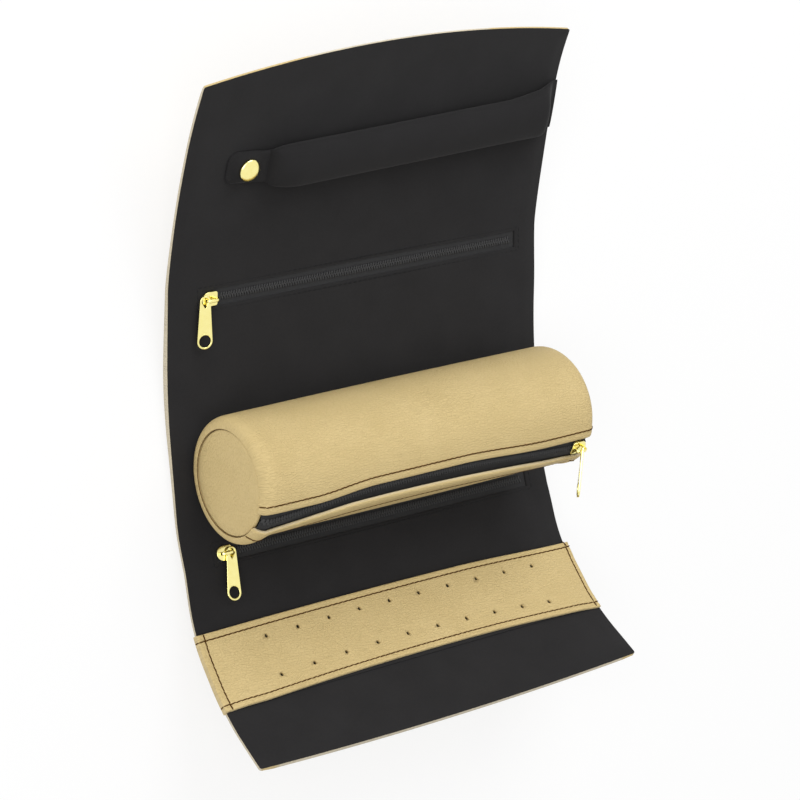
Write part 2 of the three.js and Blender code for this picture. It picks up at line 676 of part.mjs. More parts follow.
const earring = fold(lower, earringFoldY, -EARRING_FOLD);
panelStretch(earring, { name: 'earring', yFold: earringFoldY, yEdge: bottomFoldY, rise: 0, magnets: true });
earringStrip(earring, (earringFoldY + bottomFoldY) / 2);

const bottomFlap = fold(earring, bottomFoldY, -BOTTOM_FLAP_FOLD);
panelStretch(bottomFlap, {
  name: 'bottom_flap', yFold: bottomFoldY, yEdge: bottomEdgeY, rise: BOTTOM_EDGE_RISE, free: true,
});

const upper = fold(roll, upperFoldY, UPPER_FOLD);
panelStretch(upper, { name: 'upper', yFold: upperFoldY, yEdge: middleFoldY, rise: 0, slotY: upperZipY });
panelZip(upper, 'upper', upperZipY, -1, 0);

const middle = fold(upper, middleFoldY, MIDDLE_FOLD);
panelStretch(middle, { name: 'middle', yFold: middleFoldY, yEdge: ringFoldY, rise: 0 });

const ring = fold(middle, ringFoldY, RING_FOLD);
panelStretch(ring, { name: 'ring', yFold: ringFoldY, yEdge: topFoldY, rise: 0 });
ringBar(ring, ringFoldY + RING_BAR_FROM_FOLD);

const topFlap = fold(ring, topFoldY, TOP_FLAP_FOLD);
panelStretch(topFlap, {
  name: 'top_flap', yFold: topFoldY, yEdge: topEdgeY, rise: TOP_EDGE_RISE, free: true, magnets: true,
});

export default roll;
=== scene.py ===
"""Jewelry roll lying open: a leather panel with a fabric lining, curled up round a zipped pouch.

Lengths are in metres. X runs along the roll, Y up the open panel and Z out of the lining. Pieces that lie on
the panel are drawn flat, in (x, y, height over the lining), and the panel's form carries them there.
"""
import json
import logging
import math
from dataclasses import dataclass, field
from enum import Enum
from functools import cache
from typing import Callable, Sequence

import bmesh
import bpy
import numpy as np
from mathutils import Matrix, Vector

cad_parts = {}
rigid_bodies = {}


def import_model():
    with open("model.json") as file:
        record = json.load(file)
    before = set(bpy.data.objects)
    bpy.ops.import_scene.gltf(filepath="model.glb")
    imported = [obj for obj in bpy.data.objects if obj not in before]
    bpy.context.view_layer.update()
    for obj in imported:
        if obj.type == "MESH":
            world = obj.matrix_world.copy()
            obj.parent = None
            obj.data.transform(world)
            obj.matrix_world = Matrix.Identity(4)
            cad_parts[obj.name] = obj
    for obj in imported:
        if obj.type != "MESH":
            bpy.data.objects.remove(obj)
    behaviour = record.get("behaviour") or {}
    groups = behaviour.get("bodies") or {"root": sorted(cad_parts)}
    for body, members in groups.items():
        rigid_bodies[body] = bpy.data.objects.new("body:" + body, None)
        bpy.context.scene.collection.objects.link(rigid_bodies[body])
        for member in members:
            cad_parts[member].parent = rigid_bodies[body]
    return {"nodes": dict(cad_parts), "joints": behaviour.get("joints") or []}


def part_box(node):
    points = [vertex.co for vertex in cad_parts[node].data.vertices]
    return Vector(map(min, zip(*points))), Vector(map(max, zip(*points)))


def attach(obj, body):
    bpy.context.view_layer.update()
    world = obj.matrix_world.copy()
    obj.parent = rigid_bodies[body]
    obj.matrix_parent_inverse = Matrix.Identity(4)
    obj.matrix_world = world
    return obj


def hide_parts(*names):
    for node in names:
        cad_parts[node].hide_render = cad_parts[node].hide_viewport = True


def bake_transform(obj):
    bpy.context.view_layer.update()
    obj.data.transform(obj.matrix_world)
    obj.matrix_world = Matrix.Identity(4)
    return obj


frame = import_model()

Array = np.ndarray
Node = bpy.types.Node
Socket = bpy.types.NodeSocket
Piece = bpy.types.Object
Colour = tuple[float, float, float]
Line = Callable[[Array], tuple[Array, Array]]
MM = 0.001
FLAT_MAP = "flat"
EDGE_MAP = "cut_edge"
VALUE = "NodeSocketFloat"
METAL_SHARP = 40.0
SOFT_SHARP = 60.0
GROOVE_WIDTH = 0.55 * MM
log = logging.getLogger("jewelry_roll")


class End(Enum):
    """The two ends of the roll along X."""

    LEFT = -1
    RIGHT = 1


class Half(Enum):
    """The two halves of a zip, across its line."""

    UPPER = 1
    LOWER = -1


# Arrays and shells


def ease(share: Array) -> Array:
    """Goes smoothly from 0 to 1 as share does, and stays there outside."""
    held = np.clip(share, 0.0, 1.0)
    return held * held * (3.0 - 2.0 * held)


def rounded(distance: Array, radius: float) -> Array:
    """Height of a quarter-round edge, from 0 at the edge to 1 at the given distance from it."""
    share = np.clip(distance / radius, 0.0, 1.0)
    return np.sqrt(1.0 - (1.0 - share) ** 2)


def bell(distance: Array, spread: float) -> Array:
    """Bell curve: 1 where the distance is 0, falling off on both sides."""
    return np.exp(-(distance / spread) ** 2)


def steps(low: float, high: float, step: float) -> Array:
    """Even places from low to high, about step apart."""
    return np.linspace(low, high, max(2, int(math.ceil(abs(high - low) / step)) + 1))


def places(low: float, high: float, step: float, marks: Sequence[float] = (),
           fine: Sequence[float] = ()) -> Array:
    """Places from low to high with closer ones round each mark and both ends.

    Args:
        low: First place.
        high: Last place.
        step: Distance between places away from the marks.
        marks: Places that are kept exactly.
        fine: Distances from each mark, on both sides, that also get a place.

    Returns:
        The places in rising order.
    """
    exact = np.array([low, high, *marks])
    around = exact[:, None] + np.concatenate([[0.0], np.array(fine), -np.array(fine)])
    close = np.unique(np.round(around[(around >= low) & (around <= high)], 7))
    coarse = steps(low, high, step)
    gap = np.abs(coarse[:, None] - close[None, :]).min(1)
    least_gap = 0.45 * step
    return np.sort(np.concatenate([close, coarse[gap > least_gap]]))


def circle(count: int) -> Array:
    """Even angles once round."""
    return np.linspace(0, 2 * np.pi, count, endpoint=False)


def grid_faces(rows: int, columns: int, wrap: bool = False, close: bool = False) -> Array:
    """Quads of a grid of vertices.

    Args:
        rows: Number of rows.
        columns: Number of columns.
        wrap: Whether the last column joins the first.
        close: Whether the last row joins the first.

    Returns:
        Vertex numbers, four to a face.
    """
    i, j = np.meshgrid(np.arange(rows - 1 + close), np.arange(columns - 1 + wrap), indexing="ij")
    k, row, following = (j + 1) % columns, i * columns, (i + 1) % rows * columns
    return np.stack([row + j, following + j, following + k, row + k], -1).reshape(-1, 4)


@dataclass
class Shell:
    """Vertices, faces and flat coordinates of closed surfaces, and a share of cut edge for each vertex."""

    points: Array
    faces: list[Array]
    flat: Array
    edge: Array | None = None

    def moved(self, matrix: Array) -> "Shell":
        """The shell carried by a 4 by 4 matrix."""
        return Shell(self.points @ matrix[:3, :3].T + matrix[:3, 3], self.faces, self.flat, self.edge)

    def outward(self) -> "Shell":
        """Turns the faces so that the sum of the volumes under them is positive.

        Returns:
            The shell itself.
        """
        corners = np.concatenate([f[:, [0, k, k + 1]] for f in self.faces for k in range(1, f.shape[1] - 1)])
        a, b, c = (self.points[corners[:, k]] for k in range(3))
        if np.einsum("ij,ij->i", a, np.cross(b, c)).sum() < 0:
            self.faces = [f[:, ::-1] for f in self.faces]
        return self


def joined(shells: Sequence[Shell]) -> Shell:
    """Several shells as one.

    Args:
        shells: Shells to put together.

    Returns:
        One shell with all their vertices and faces.
    """
    starts = np.cumsum([0] + [len(s.points) for s in shells[:-1]])
    faces = [f + start for s, start in zip(shells, starts) for f in s.faces]
    return Shell(np.concatenate([s.points for s in shells]), faces, np.concatenate([s.flat for s in shells]))


def slab(top: Array, bottom: Array, flat: Array, keep: Array | None = None,
         edge: Array | None = None) -> Shell:
    """Closed sheet between two grids of points, walled in round every cell that is left out.

    Args:
        top: Grid of points, rows by columns by 3.
        bottom: Grid of the same size under it.
        flat: Flat coordinates of the grid, rows by columns by 2.
        keep: Which cells are there, all of them if not given.
        edge: Share of cut edge at each grid point, if there is any.

    Returns:
        The sheet.
    """
    rows, columns = top.shape[:2]
    under = rows * columns
    if keep is None:
        keep = np.ones((rows - 1, columns - 1), bool)
    cells = grid_faces(rows, columns)[keep.ravel()]
    padded = np.pad(keep, 1)
    before, after = padded[:-1, 1:-1], padded[1:, 1:-1]
    left, right = padded[1:-1, :-1], padded[1:-1, 1:]
    faces = [cells, cells[:, ::-1] + under]
    for where, first, second in ((after & ~before, (0, 0), (0, 1)), (before & ~after, (0, 1), (0, 0)),
                                 (right & ~left, (1, 0), (0, 0)), (left & ~right, (0, 0), (1, 0))):
        i, j = np.nonzero(where)
        a, b = [(i + row) * columns + j + column for row, column in (first, second)]
        faces.append(np.stack([a, b, b + under, a + under], -1))
    used, faces = np.unique(np.concatenate(faces), return_inverse=True)
    points = np.concatenate([top.reshape(-1, 3), bottom.reshape(-1, 3)])[used]
    doubled = np.concatenate([flat.reshape(-1, 2)] * 2)[used]
    worn = None if edge is None else np.concatenate([edge.ravel()] * 2)[used]
    return Shell(points, [faces.reshape(-1, 4)], doubled, worn).outward()


def tube(rings: Array, flat: Array | None = None, tips: tuple[Array, Array] | None = None) -> Shell:
    """Closed skin through rings of points, with a fan of triangles over each end.

    Args:
        rings: Rings by points by 3.
        flat: Flat coordinates, rings by points by 2; ring number and way round if not given.
        tips: Middle points of the two end fans; the rings' own middles if not given.

    Returns:
        The skin.
    """
    count, around = rings.shape[:2]
    if tips is None:
        tips = (rings[0].mean(0), rings[-1].mean(0))
    if flat is None:
        i, j = np.meshgrid(np.linspace(0, 1, count), np.linspace(0, 1, around), indexing="ij")
        flat = np.stack([i, j], -1) * MM
    j = np.arange(around)
    k = (j + 1) % around
    first, last = count * around, (count - 1) * around
    start = np.stack([np.full(around, first), j, k], -1)
    end = np.stack([np.full(around, first + 1), last + k, last + j], -1)
    points = np.concatenate([rings.reshape(-1, 3), np.array(tips)])
    flat_points = np.concatenate([flat.reshape(-1, 2), flat[[0, -1]].mean(1)])
    return Shell(points, [grid_faces(count, around, wrap=True), start, end], flat_points).outward()


def turned(profile: Sequence[tuple[float, float]], sides: int = 40) -> Shell:
    """Round solid: a profile turned about Z.

    Args:
        profile: Radius and height of each point, from one point on the axis to another.
        sides: Points round the axis.

    Returns:
        The solid.
    """
    line = np.array(profile)
    angle = circle(sides)
    inner = line[1:-1]
    rings = np.stack([
        inner[:, :1] * np.cos(angle),
        inner[:, :1] * np.sin(angle),
        np.repeat(inner[:, 1:], sides, 1),
    ], -1)
    tips = (np.array([0, 0, line[0, 1]]), np.array([0, 0, line[-1, 1]]))
    return tube(rings, rings[..., :2], tips)


def swept(path: Array, across: Array, wide: float, thick: float, sides: int = 12) -> Shell:
    """Bar with a rounded oblong section, a circle raised to a power, carried along a path.

    Args:
        path: Points of the bar's middle line.
        across: Direction of the section's width, the same all along.
        wide: Width of the section.
        thick: Thickness of the section.
        sides: Points round the section.

    Returns:
        The bar.
    """
    along = np.gradient(path, axis=0)
    along /= np.linalg.norm(along, axis=1, keepdims=True)
    out = np.cross(along, across)
    angle = circle(sides)
    power = 0.6
    a = np.sign(np.cos(angle)) * np.abs(np.cos(angle)) ** power * wide / 2
    b = np.sign(np.sin(angle)) * np.abs(np.sin(angle)) ** power * thick / 2
    return tube(path[:, None] + a[None, :, None] * across + b[None, :, None] * out[:, None])


def repeated(shape: Shell, frames: Array) -> Shell:
    """One shape at many places.

    Args:
        shape: Shape to repeat.
        frames: A 4 by 4 matrix for each place.

    Returns:
        All the copies as one shell.
    """
    count, size = len(frames), len(shape.points)
    points = np.einsum("kij,nj->kni", frames[:, :3, :3], shape.points) + frames[:, None, :3, 3]
    first = np.arange(count)[:, None, None] * size
    faces = [(f[None] + first).reshape(-1, f.shape[1]) for f in shape.faces]
    return Shell(points.reshape(-1, 3), faces, np.tile(shape.flat, (count, 1)))


def frames_on(points: Array, along: Array, up: Array) -> Array:
    """Matrices at points, with X along a line and Z as near to up as that allows.

    Args:
        points: Places of the matrices.
        along: Direction of the line at each place.
        up: Upward direction at each place.

    Returns:
        A 4 by 4 matrix for each place.
    """
    x = along / np.linalg.norm(along, axis=1, keepdims=True)
    y = np.cross(up, x)
    y /= np.linalg.norm(y, axis=1, keepdims=True)
    made = np.tile(np.eye(4), (len(points), 1, 1))
    made[:, :3] = np.stack([x, y, np.cross(x, y), points], -1)
    return made


def spin(axis: str, degrees: float) -> Array:
    """Turn about the axis X, Y or Z."""
    return np.array(Matrix.Rotation(math.radians(degrees), 4, axis))


def shift(x: float, y: float, z: float) -> Array:
    """Move without turning."""
    return np.array(Matrix.Translation((x, y, z)))


def arc(centre: tuple[float, float], radius: float, start: float, end: float, count: int) -> Array:
    """Points of a circle's arc in a plane, angles in degrees."""
    angle = np.radians(np.linspace(start, end, count))
    return np.stack([centre[0] + radius * np.cos(angle), centre[1] + radius * np.sin(angle)], -1)


def plate(outlines: Sequence[Array], thickness: float, bevel: float) -> Shell:
    """Flat plate in X and Y with softened edges, filled between flat curves.

    Args:
        outlines: The plate's rim, then its holes.
        thickness: Thickness of the plate.
        bevel: Radius of its softened edges.

    Returns:
        The plate.
    """
    curve = bpy.data.curves.new("plate", "CURVE")
    curve.dimensions = "2D"
    curve.fill_mode = "BOTH"
    curve.extrude = thickness / 2 - bevel
    curve.bevel_depth = bevel
    curve.bevel_resolution = 2
    curve.offset = -bevel
    for outline in outlines:
        spline = curve.splines.new("POLY")
        spline.points.add(len(outline) - 1)
        lifted = np.column_stack([outline, np.zeros(len(outline)), np.ones(len(outline))])
        spline.points.foreach_set("co", lifted.ravel())
        spline.use_cyclic_u = True
    holder = bpy.data.objects.new("plate", curve)
    bpy.context.scene.collection.objects.link(holder)
    graph = bpy.context.evaluated_depsgraph_get()
    mesh = bpy.data.meshes.new_from_object(holder.evaluated_get(graph))
    work = bmesh.new()
    work.from_mesh(mesh)
    bmesh.ops.remove_doubles(work, verts=work.verts, dist=1e-6)
    bmesh.ops.triangulate(work, faces=work.faces)
    work.to_mesh(mesh)
    work.free()
    points = np.empty(3 * len(mesh.vertices))
    mesh.vertices.foreach_get("co", points)
    corners = np.empty(len(mesh.loops), int)
    mesh.loops.foreach_get("vertex_index", corners)
    bpy.data.objects.remove(holder)
    bpy.data.curves.remove(curve)
    bpy.data.meshes.remove(mesh)
    points = points.reshape(-1, 3)
    return Shell(points, [corners.reshape(-1, 3)], points[:, :2].copy()).outward()


# Finishes


class Graph:
    """A node tree with short ways to add and join nodes."""

    def __init__(self, tree: bpy.types.NodeTree) -> None:
        """Keeps the tree."""
        self.tree = tree

    def feed(self, node: Node, inputs: dict) -> None:
        """Sets or joins inputs of a node.

        Args:
            node: Node to feed.
            inputs: Value or source socket of each input, by its name or number.
        """
        for name, value in inputs.items():
            if isinstance(value, Socket):
                self.tree.links.new(value, node.inputs[name])
            else:
                node.inputs[name].default_value = value

    def add(self, kind: str, inputs: dict | None = None, **settings: object) -> Node:
        """Adds a node.

        Args:
            kind: Blender's name for the node.
            inputs: Value or source socket of each input, by its name or number.
            settings: Properties of the node itself.

        Returns:
            The new node.
        """
        node = self.tree.nodes.new(kind)
        for name, value in settings.items():
            setattr(node, name, value)
        self.feed(node, inputs or {})
        return node

    def math(self, operation: str, first: object, second: object = 0.0) -> Socket:
        """Result of a sum on one or two values."""
        return self.add("ShaderNodeMath", {0: first, 1: second}, operation=operation).outputs[0]

    def weighed(self, first: Socket, first_share: float, second: Socket, second_share: float) -> Socket:
        """Sum of two values, each times its share."""
        rest = self.math("MULTIPLY", second, second_share)
        return self.math("ADD", self.math("MULTIPLY", first, first_share), rest)

    def mix(self, share: object, first: object, second: object) -> Socket:
        """Colour between two colours."""
        return self.add("ShaderNodeMix", {0: share, 6: first, 7: second}, data_type="RGBA").outputs[2]

    def stretch(self, vector: object, scale: tuple[float, float, float]) -> Socket:
        """Coordinates times a scale for each axis."""
        return self.add("ShaderNodeMapping", {"Vector": vector, "Scale": scale}).outputs[0]

    def in_mm(self, vector: object) -> Socket:
        """Coordinates taken from metres to millimetres."""
        return self.stretch(vector, (1 / MM, 1 / MM, 1 / MM))

    def between(self, value: object, low: float, high: float) -> Socket:
        """A value from 0 to 1 taken to the span from low to high."""
        return self.add("ShaderNodeMapRange", {"Value": value, "To Min": low, "To Max": high}).outputs[0]

    def share_of(self, value: object, low: float, high: float) -> Socket:
        """A value from low to high taken to the span from 0 to 1."""
        return self.add("ShaderNodeMapRange", {"Value": value, "From Min": low, "From Max": high}).outputs[0]

    def noise(self, vector: object, scale: object, detail: float) -> Node:
        """Smooth noise at places."""
        return self.add("ShaderNodeTexNoise", {"Vector": vector, "Scale": scale, "Detail": detail})

    def bump(self, height: Socket, strength: float, depth: float) -> Socket:
        """Normal of a surface with the given height."""
        inputs = {"Height": height, "Strength": strength, "Distance": depth}
        return self.add("ShaderNodeBump", inputs).outputs[0]


def node_group(name: str, inputs: dict[str, object], outputs: dict[str, str]) -> tuple[Graph, Node, Node]:
    """Empty shader group with named sockets.

    Args:
        name: Name of the group.
        inputs: Standard value of each input; a tuple of 3 is a vector and of 4 a colour.
        outputs: Socket type of each output.

    Returns:
        The group's graph, its input node and its output node.
    """
    group = bpy.data.node_groups.new(name, "ShaderNodeTree")
    kinds = {3: "NodeSocketVector", 4: "NodeSocketColor"}
    for label, value in inputs.items():
        kind = kinds[len(value)] if isinstance(value, tuple) else VALUE
        group.interface.new_socket(label, in_out="INPUT", socket_type=kind).default_value = value
    for label, kind in outputs.items():
        group.interface.new_socket(label, in_out="OUTPUT", socket_type=kind)
    graph = Graph(group)
    return graph, graph.add("NodeGroupInput"), graph.add("NodeGroupOutput")


@cache
def pebble_group() -> bpy.types.NodeTree:
    """Leather grain: the height of cells over their creases, in two sizes, at places bent by slow noise.

    Returns:
        The group, made once.
    """
    graph, source, result = node_group("pebble grain", {"Place": (0.0, 0.0, 0.0), "Pebbles": 1.0},
                                       {"Height": VALUE, "Tops": VALUE})
    place, pebbles = source.outputs["Place"], source.outputs["Pebbles"]
    wander = graph.noise(place, 0.35, 2.0).outputs["Color"]
    bent = graph.stretch(wander, (0.9, 0.9, 0.9))
    moved = graph.add("ShaderNodeVectorMath", {0: place, 1: bent}, operation="ADD").outputs[0]
    tops = []
    for scale, crease_width in ((pebbles, 0.22), (graph.math("MULTIPLY", pebbles, 2.3), 0.25)):
        cells = graph.add("ShaderNodeTexVoronoi", {"Vector": moved, "Scale": scale},
                          feature="DISTANCE_TO_EDGE", voronoi_dimensions="2D")
        tops.append(graph.share_of(cells.outputs["Distance"], 0.0, crease_width))
    graph.feed(result, {"Height": graph.weighed(tops[0], 0.7, tops[1], 0.3), "Tops": tops[0]})
    return graph.tree


@cache
def weave_group() -> bpy.types.NodeTree:
    """Plain weave: warp shows where the product of two sines is positive, and weft where it is negative.

    Returns:
        The group, made once.
    """
    graph, source, result = node_group("plain weave", {"Place": (0.0, 0.0, 0.0), "Warp": 1.0, "Weft": 1.0},
                                       {"Height": VALUE})
    split = graph.add("ShaderNodeSeparateXYZ", {0: source.outputs["Place"]})
    waves = []
    for axis, name in enumerate(("Warp", "Weft")):
        threads = graph.math("MULTIPLY", split.outputs[axis], source.outputs[name])
        waves.append(graph.math("SINE", graph.math("MULTIPLY", threads, math.pi)))
    over = graph.math("MULTIPLY", *waves)
    shown = (over, graph.math("MULTIPLY", over, -1.0))
    heights = [graph.math("MULTIPLY", graph.math("ABSOLUTE", wave), graph.math("MAXIMUM", side, 0.0))
               for wave, side in zip(waves, shown)]
    graph.feed(result, {"Height": graph.math("ADD", *heights)})
    return graph.tree


@cache
def mottle_group() -> bpy.types.NodeTree:
    """Colour that drifts gently between two tones, by the sum of broad and fine noise.

    Returns:
        The group, made once.
    """
    white = (1.0, 1.0, 1.0, 1.0)
    inputs = {"Place": (0.0, 0.0, 0.0), "Scale": 0.05, "Tone": white, "Other tone": white}
    graph, source, result = node_group("mottle", inputs, {"Color": "NodeSocketColor"})
    place, scale = source.outputs["Place"], source.outputs["Scale"]
    broad = graph.noise(place, scale, 3.0).outputs["Fac"]
    fine = graph.noise(place, graph.math("MULTIPLY", scale, 14.0), 2.0).outputs["Fac"]
    share = graph.share_of(graph.weighed(broad, 0.65, fine, 0.35), 0.32, 0.68)
    colour = graph.mix(share, source.outputs["Tone"], source.outputs["Other tone"])
    graph.feed(result, {"Color": colour})
    return graph.tree


@dataclass(frozen=True)
class Finish:
    """Look of a material: its name, the record's slot and two close tones."""

    name: str
    slot: str
    tone: Colour
    other_tone: Colour
    drift_scale: float = 0.05

    def dress(self, graph: Graph, shader: Node, place: Socket) -> None:
        """Joins the finish's own nodes to the shader; place is in millimetres."""
        raise NotImplementedError

    def mottle(self, graph: Graph, place: Socket) -> Socket:
        """The drifting colour of the two tones at places in millimetres."""
        tones = {"Tone": (*self.tone, 1.0), "Other tone": (*self.other_tone, 1.0), "Scale": self.drift_scale}
        return graph.add("ShaderNodeGroup", {"Place": place, **tones}, node_tree=mottle_group()).outputs[0]

    def material(self) -> bpy.types.Material:
        """The finish as a Blender material.

        Returns:
            The material, made once.
        """
        if self.name in bpy.data.materials:
            return bpy.data.materials[self.name]
        made = bpy.data.materials.new(self.name)
        made.use_nodes = True
        graph = Graph(made.node_tree)
        flat = graph.add("ShaderNodeUVMap", uv_map=FLAT_MAP).outputs[0]
        self.dress(graph, made.node_tree.nodes["Principled BSDF"], graph.in_mm(flat))
        return made


@dataclass(frozen=True)
class Leather(Finish):
    """Grained leather with satin pebbles, and painted shade in the darker creases of its grain."""

    # Painted shade: a darker tone mixed into the grain's creases, where shade falls.
    crease: Colour = (0.4, 0.3, 0.13)
    crease_shade_share: float = 0.07
    cut: Colour = (0.63, 0.56, 0.42)
    pebbles_per_mm: float = 0.85
    draw: float = 0.5
    crease_roughness: float = 0.68
    top_roughness: float = 0.5
    shine: float = 0.22
    relief: float = 0.26 * MM

    def dress(self, graph: Graph, shader: Node, place: Socket) -> None:
        """Joins pebble height, painted shade in the creases, cut edge and roughness.

        Args:
            graph: The material's graph.
            shader: Its shader node.
            place: Coordinates in millimetres.
        """
        inputs = {"Place": graph.stretch(place, (self.draw, 1.0, 1.0)), "Pebbles": self.pebbles_per_mm}
        grain = graph.add("ShaderNodeGroup", inputs, node_tree=pebble_group())
        tops = grain.outputs["Tops"]
        # Painted shade: the crease tone darkens the lowest part of each grain cell.
        valley_shade = graph.between(tops, self.crease_shade_share, 0.0)
        shaded = graph.mix(valley_shade, self.mottle(graph, place), (*self.crease, 1.0))
        edge = graph.add("ShaderNodeAttribute", attribute_name=EDGE_MAP).outputs["Fac"]
        graph.feed(shader, {
            "Base Color": graph.mix(edge, shaded, (*self.cut, 1.0)),
            "Roughness": graph.between(tops, self.crease_roughness, self.top_roughness),
            "Specular IOR Level": self.shine,
            "Normal": graph.bump(grain.outputs["Height"], 0.9, self.relief),
        })


@dataclass(frozen=True)
class Cloth(Finish):
    """Matt cloth with a weave under a short nap."""

    warp_per_mm: float = 2.2
    weft_per_mm: float = 2.0
    nap: float = 0.6
    relief: float = 0.08 * MM
    sheen: float = 0.08
    shine: float = 0.08
    fuzz_per_mm: float = 3.1

    def dress(self, graph: Graph, shader: Node, place: Socket) -> None:
        """Joins weave and nap height, drifting colour and a faint sheen.

        Args:
            graph: The material's graph.
            shader: Its shader node.
            place: Coordinates in millimetres.
        """
        inputs = {"Place": place, "Warp": self.warp_per_mm, "Weft": self.weft_per_mm}
        weave = graph.add("ShaderNodeGroup", inputs, node_tree=weave_group()).outputs["Height"]
        fuzz = graph.noise(place, self.fuzz_per_mm, 3.0).outputs["Fac"]
        height = graph.weighed(weave, 1.0 - self.nap, fuzz, self.nap)
        graph.feed(shader, {
            "Base Color": self.mottle(graph, place),
            "Roughness": graph.between(fuzz, 0.84, 1.0),
            "Specular IOR Level": self.shine,
            "Sheen Weight": self.sheen,
            "Sheen Roughness": 0.5,
            "Normal": graph.bump(height, 0.7, self.relief),
        })


@dataclass(frozen=True)
class Metal(Finish):
    """Plated metal with faint rubbing marks."""

    smoothest: float = 0.1
    dullest: float = 0.24
    rubs_per_mm: float = 1.6
    relief: float = 0.05 * MM

    def dress(self, graph: Graph, shader: Node, place: Socket) -> None:
        """Joins drifting plating colour, and roughness from fine rubbing, by the object's own coordinates.

        Args:
            graph: The material's graph.
            shader: Its shader node.
            place: Flat coordinates, which metal has no use for.
        """
        where = graph.in_mm(graph.add("ShaderNodeTexCoord").outputs["Object"])
        rub = graph.noise(where, self.rubs_per_mm, 4.0).outputs["Fac"]
        graph.feed(shader, {
            "Base Color": self.mottle(graph, where),
            "Roughness": graph.between(rub, self.smoothest, self.dullest),
            "Metallic": 1.0,
            "Normal": graph.bump(rub, 0.06, self.relief),
        })


@dataclass(frozen=True)
class Thread(Finish):
    """Sewing thread with the slant of its twist."""

    twists_per_mm: float = 2.4
    shine: float = 0.06
    relief: float = 0.08 * MM

    def dress(self, graph: Graph, shader: Node, place: Socket) -> None:
        """Joins slanting plies as height, and drifting colour.

        Args:
            graph: The material's graph.
            shader: Its shader node.
            place: Coordinates in millimetres.
        """
        inputs = {"Vector": place, "Scale": self.twists_per_mm, "Distortion": 0.4}
        plies = graph.add("ShaderNodeTexWave", inputs, wave_type="BANDS",
                          bands_direction="DIAGONAL").outputs["Fac"]
        graph.feed(shader, {
            "Base Color": self.mottle(graph, place),
            "Roughness": graph.between(plies, 0.75, 0.55),
            "Specular IOR Level": self.shine,
            "Normal": graph.bump(plies, 0.6, self.relief),
        })


LEATHER = Leather("pale gold leather", "leather", (0.652, 0.503, 0.241), (0.598, 0.456, 0.21))
LINING = Cloth("black lining", "lining", (0.022, 0.0213, 0.022), (0.018, 0.0173, 0.018))
# Painted shade: the lining's own cloth, made about 7 percent darker for the bar and its tab, so that the
# raised bar, which the lamps reach more, shows as dark as the lining.
SHADED_BAR_CLOTH = Cloth("black bar cloth", "lining", (0.0205, 0.0198, 0.0205), (0.0177, 0.0171, 0.0177), sheen=0.05)
TAPE = Cloth("zip tape", "zip_tape", (0.03, 0.03, 0.031), (0.036, 0.036, 0.037), 0.4, warp_per_mm=1.7,
             weft_per_mm=2.6, nap=0.15, relief=0.14 * MM)
COIL = Thread("zip coil", "zip_tape", (0.052, 0.052, 0.053), (0.07, 0.07, 0.071), 0.6)
WADDING = Cloth("wadding", "wadding", (0.7, 0.67, 0.6), (0.62, 0.59, 0.52), 0.3, warp_per_mm=0.6,
                weft_per_mm=0.6, nap=0.95, relief=0.4 * MM)
BROWN_THREAD = Thread("brown thread", "leather", (0.072, 0.029, 0.004), (0.098, 0.043, 0.008), 0.5)
TAN_THREAD = Thread("tan thread", "leather", (0.15, 0.09, 0.036), (0.2, 0.125, 0.052), 0.5)
BLACK_THREAD = Thread("black thread", "lining", (0.016, 0.016, 0.0165), (0.021, 0.021, 0.0215), 0.5)
GOLD = Metal("gold plating", "gold", (0.97, 0.89, 0.39), (0.93, 0.82, 0.31), 0.3)
STEEL = Metal("magnet steel", "magnet", (0.36, 0.37, 0.39), (0.3, 0.31, 0.33), 0.3, smoothest=0.3,
              dullest=0.45)


# Pieces


def make_piece(name: str, shell: Shell, finish: Finish, sharp: float = 50.0) -> Piece:
    """Puts a shell into the scene as a named piece.

    Args:
        name: Name of the piece.
        shell: Its surface.
        finish: Its material.
        sharp: Angle in degrees past which an edge shows as a crease.

    Returns:
        The piece, at the origin.
    """
    mesh = bpy.data.meshes.new(name)
    mesh.from_pydata(shell.points.tolist(), [], [face for f in shell.faces for face in f.tolist()])
    corners = np.empty(len(mesh.loops), int)
    mesh.loops.foreach_get("vertex_index", corners)
    flat = mesh.uv_layers.new(name=FLAT_MAP)
    flat.data.foreach_set("uv", shell.flat[corners].astype(np.float32).ravel())
    if shell.edge is not None:
        edge = mesh.attributes.new(EDGE_MAP, "FLOAT", "POINT")
        edge.data.foreach_set("value", shell.edge.astype(np.float32))
    mesh.shade_smooth()
    mesh.set_sharp_from_angle(angle=math.radians(sharp))
    mesh.materials.append(finish.material())
    piece = bpy.data.objects.new(name, mesh)
    bpy.context.scene.collection.objects.link(piece)
    log.info("%s: %d vertices", name, len(mesh.vertices))
    return piece


def fit(piece: Piece, body: str, *nodes: str) -> None:
    """Makes a piece move with a body and stand for solids of the frame.

    Args:
        piece: The piece.
        body: Body that it rides on.
        nodes: Solids that it replaces, if any.
    """
    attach(piece, body)
    if nodes:
        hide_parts(*nodes)


def stitch(length: float, width: float) -> Shell:
    """One stitch along X: a short rounded thread that dips at both ends by a fourth power.

    Args:
        length: Length of the stitch.
        width: Thickness of the thread.

    Returns:
        The stitch.
    """
    rings_along, sides = 7, 8
    share = np.linspace(-1, 1, rings_along)
    swell = np.sqrt(np.clip(1.0 - share ** 6, 0.16, 1.0))[:, None]
    dip = 0.22 * width * (share ** 4)[:, None]
    angle = circle(sides)
    rings = np.stack([
        np.repeat(share[:, None] * length / 2, sides, 1),
        swell * np.cos(angle) * width / 2,
        swell * np.sin(angle) * width / 2 - dip,
    ], -1)
    flat = np.stack([rings[..., 0], np.repeat(angle[None] * width / 2, rings_along, 0)], -1)
    return tube(rings, flat)


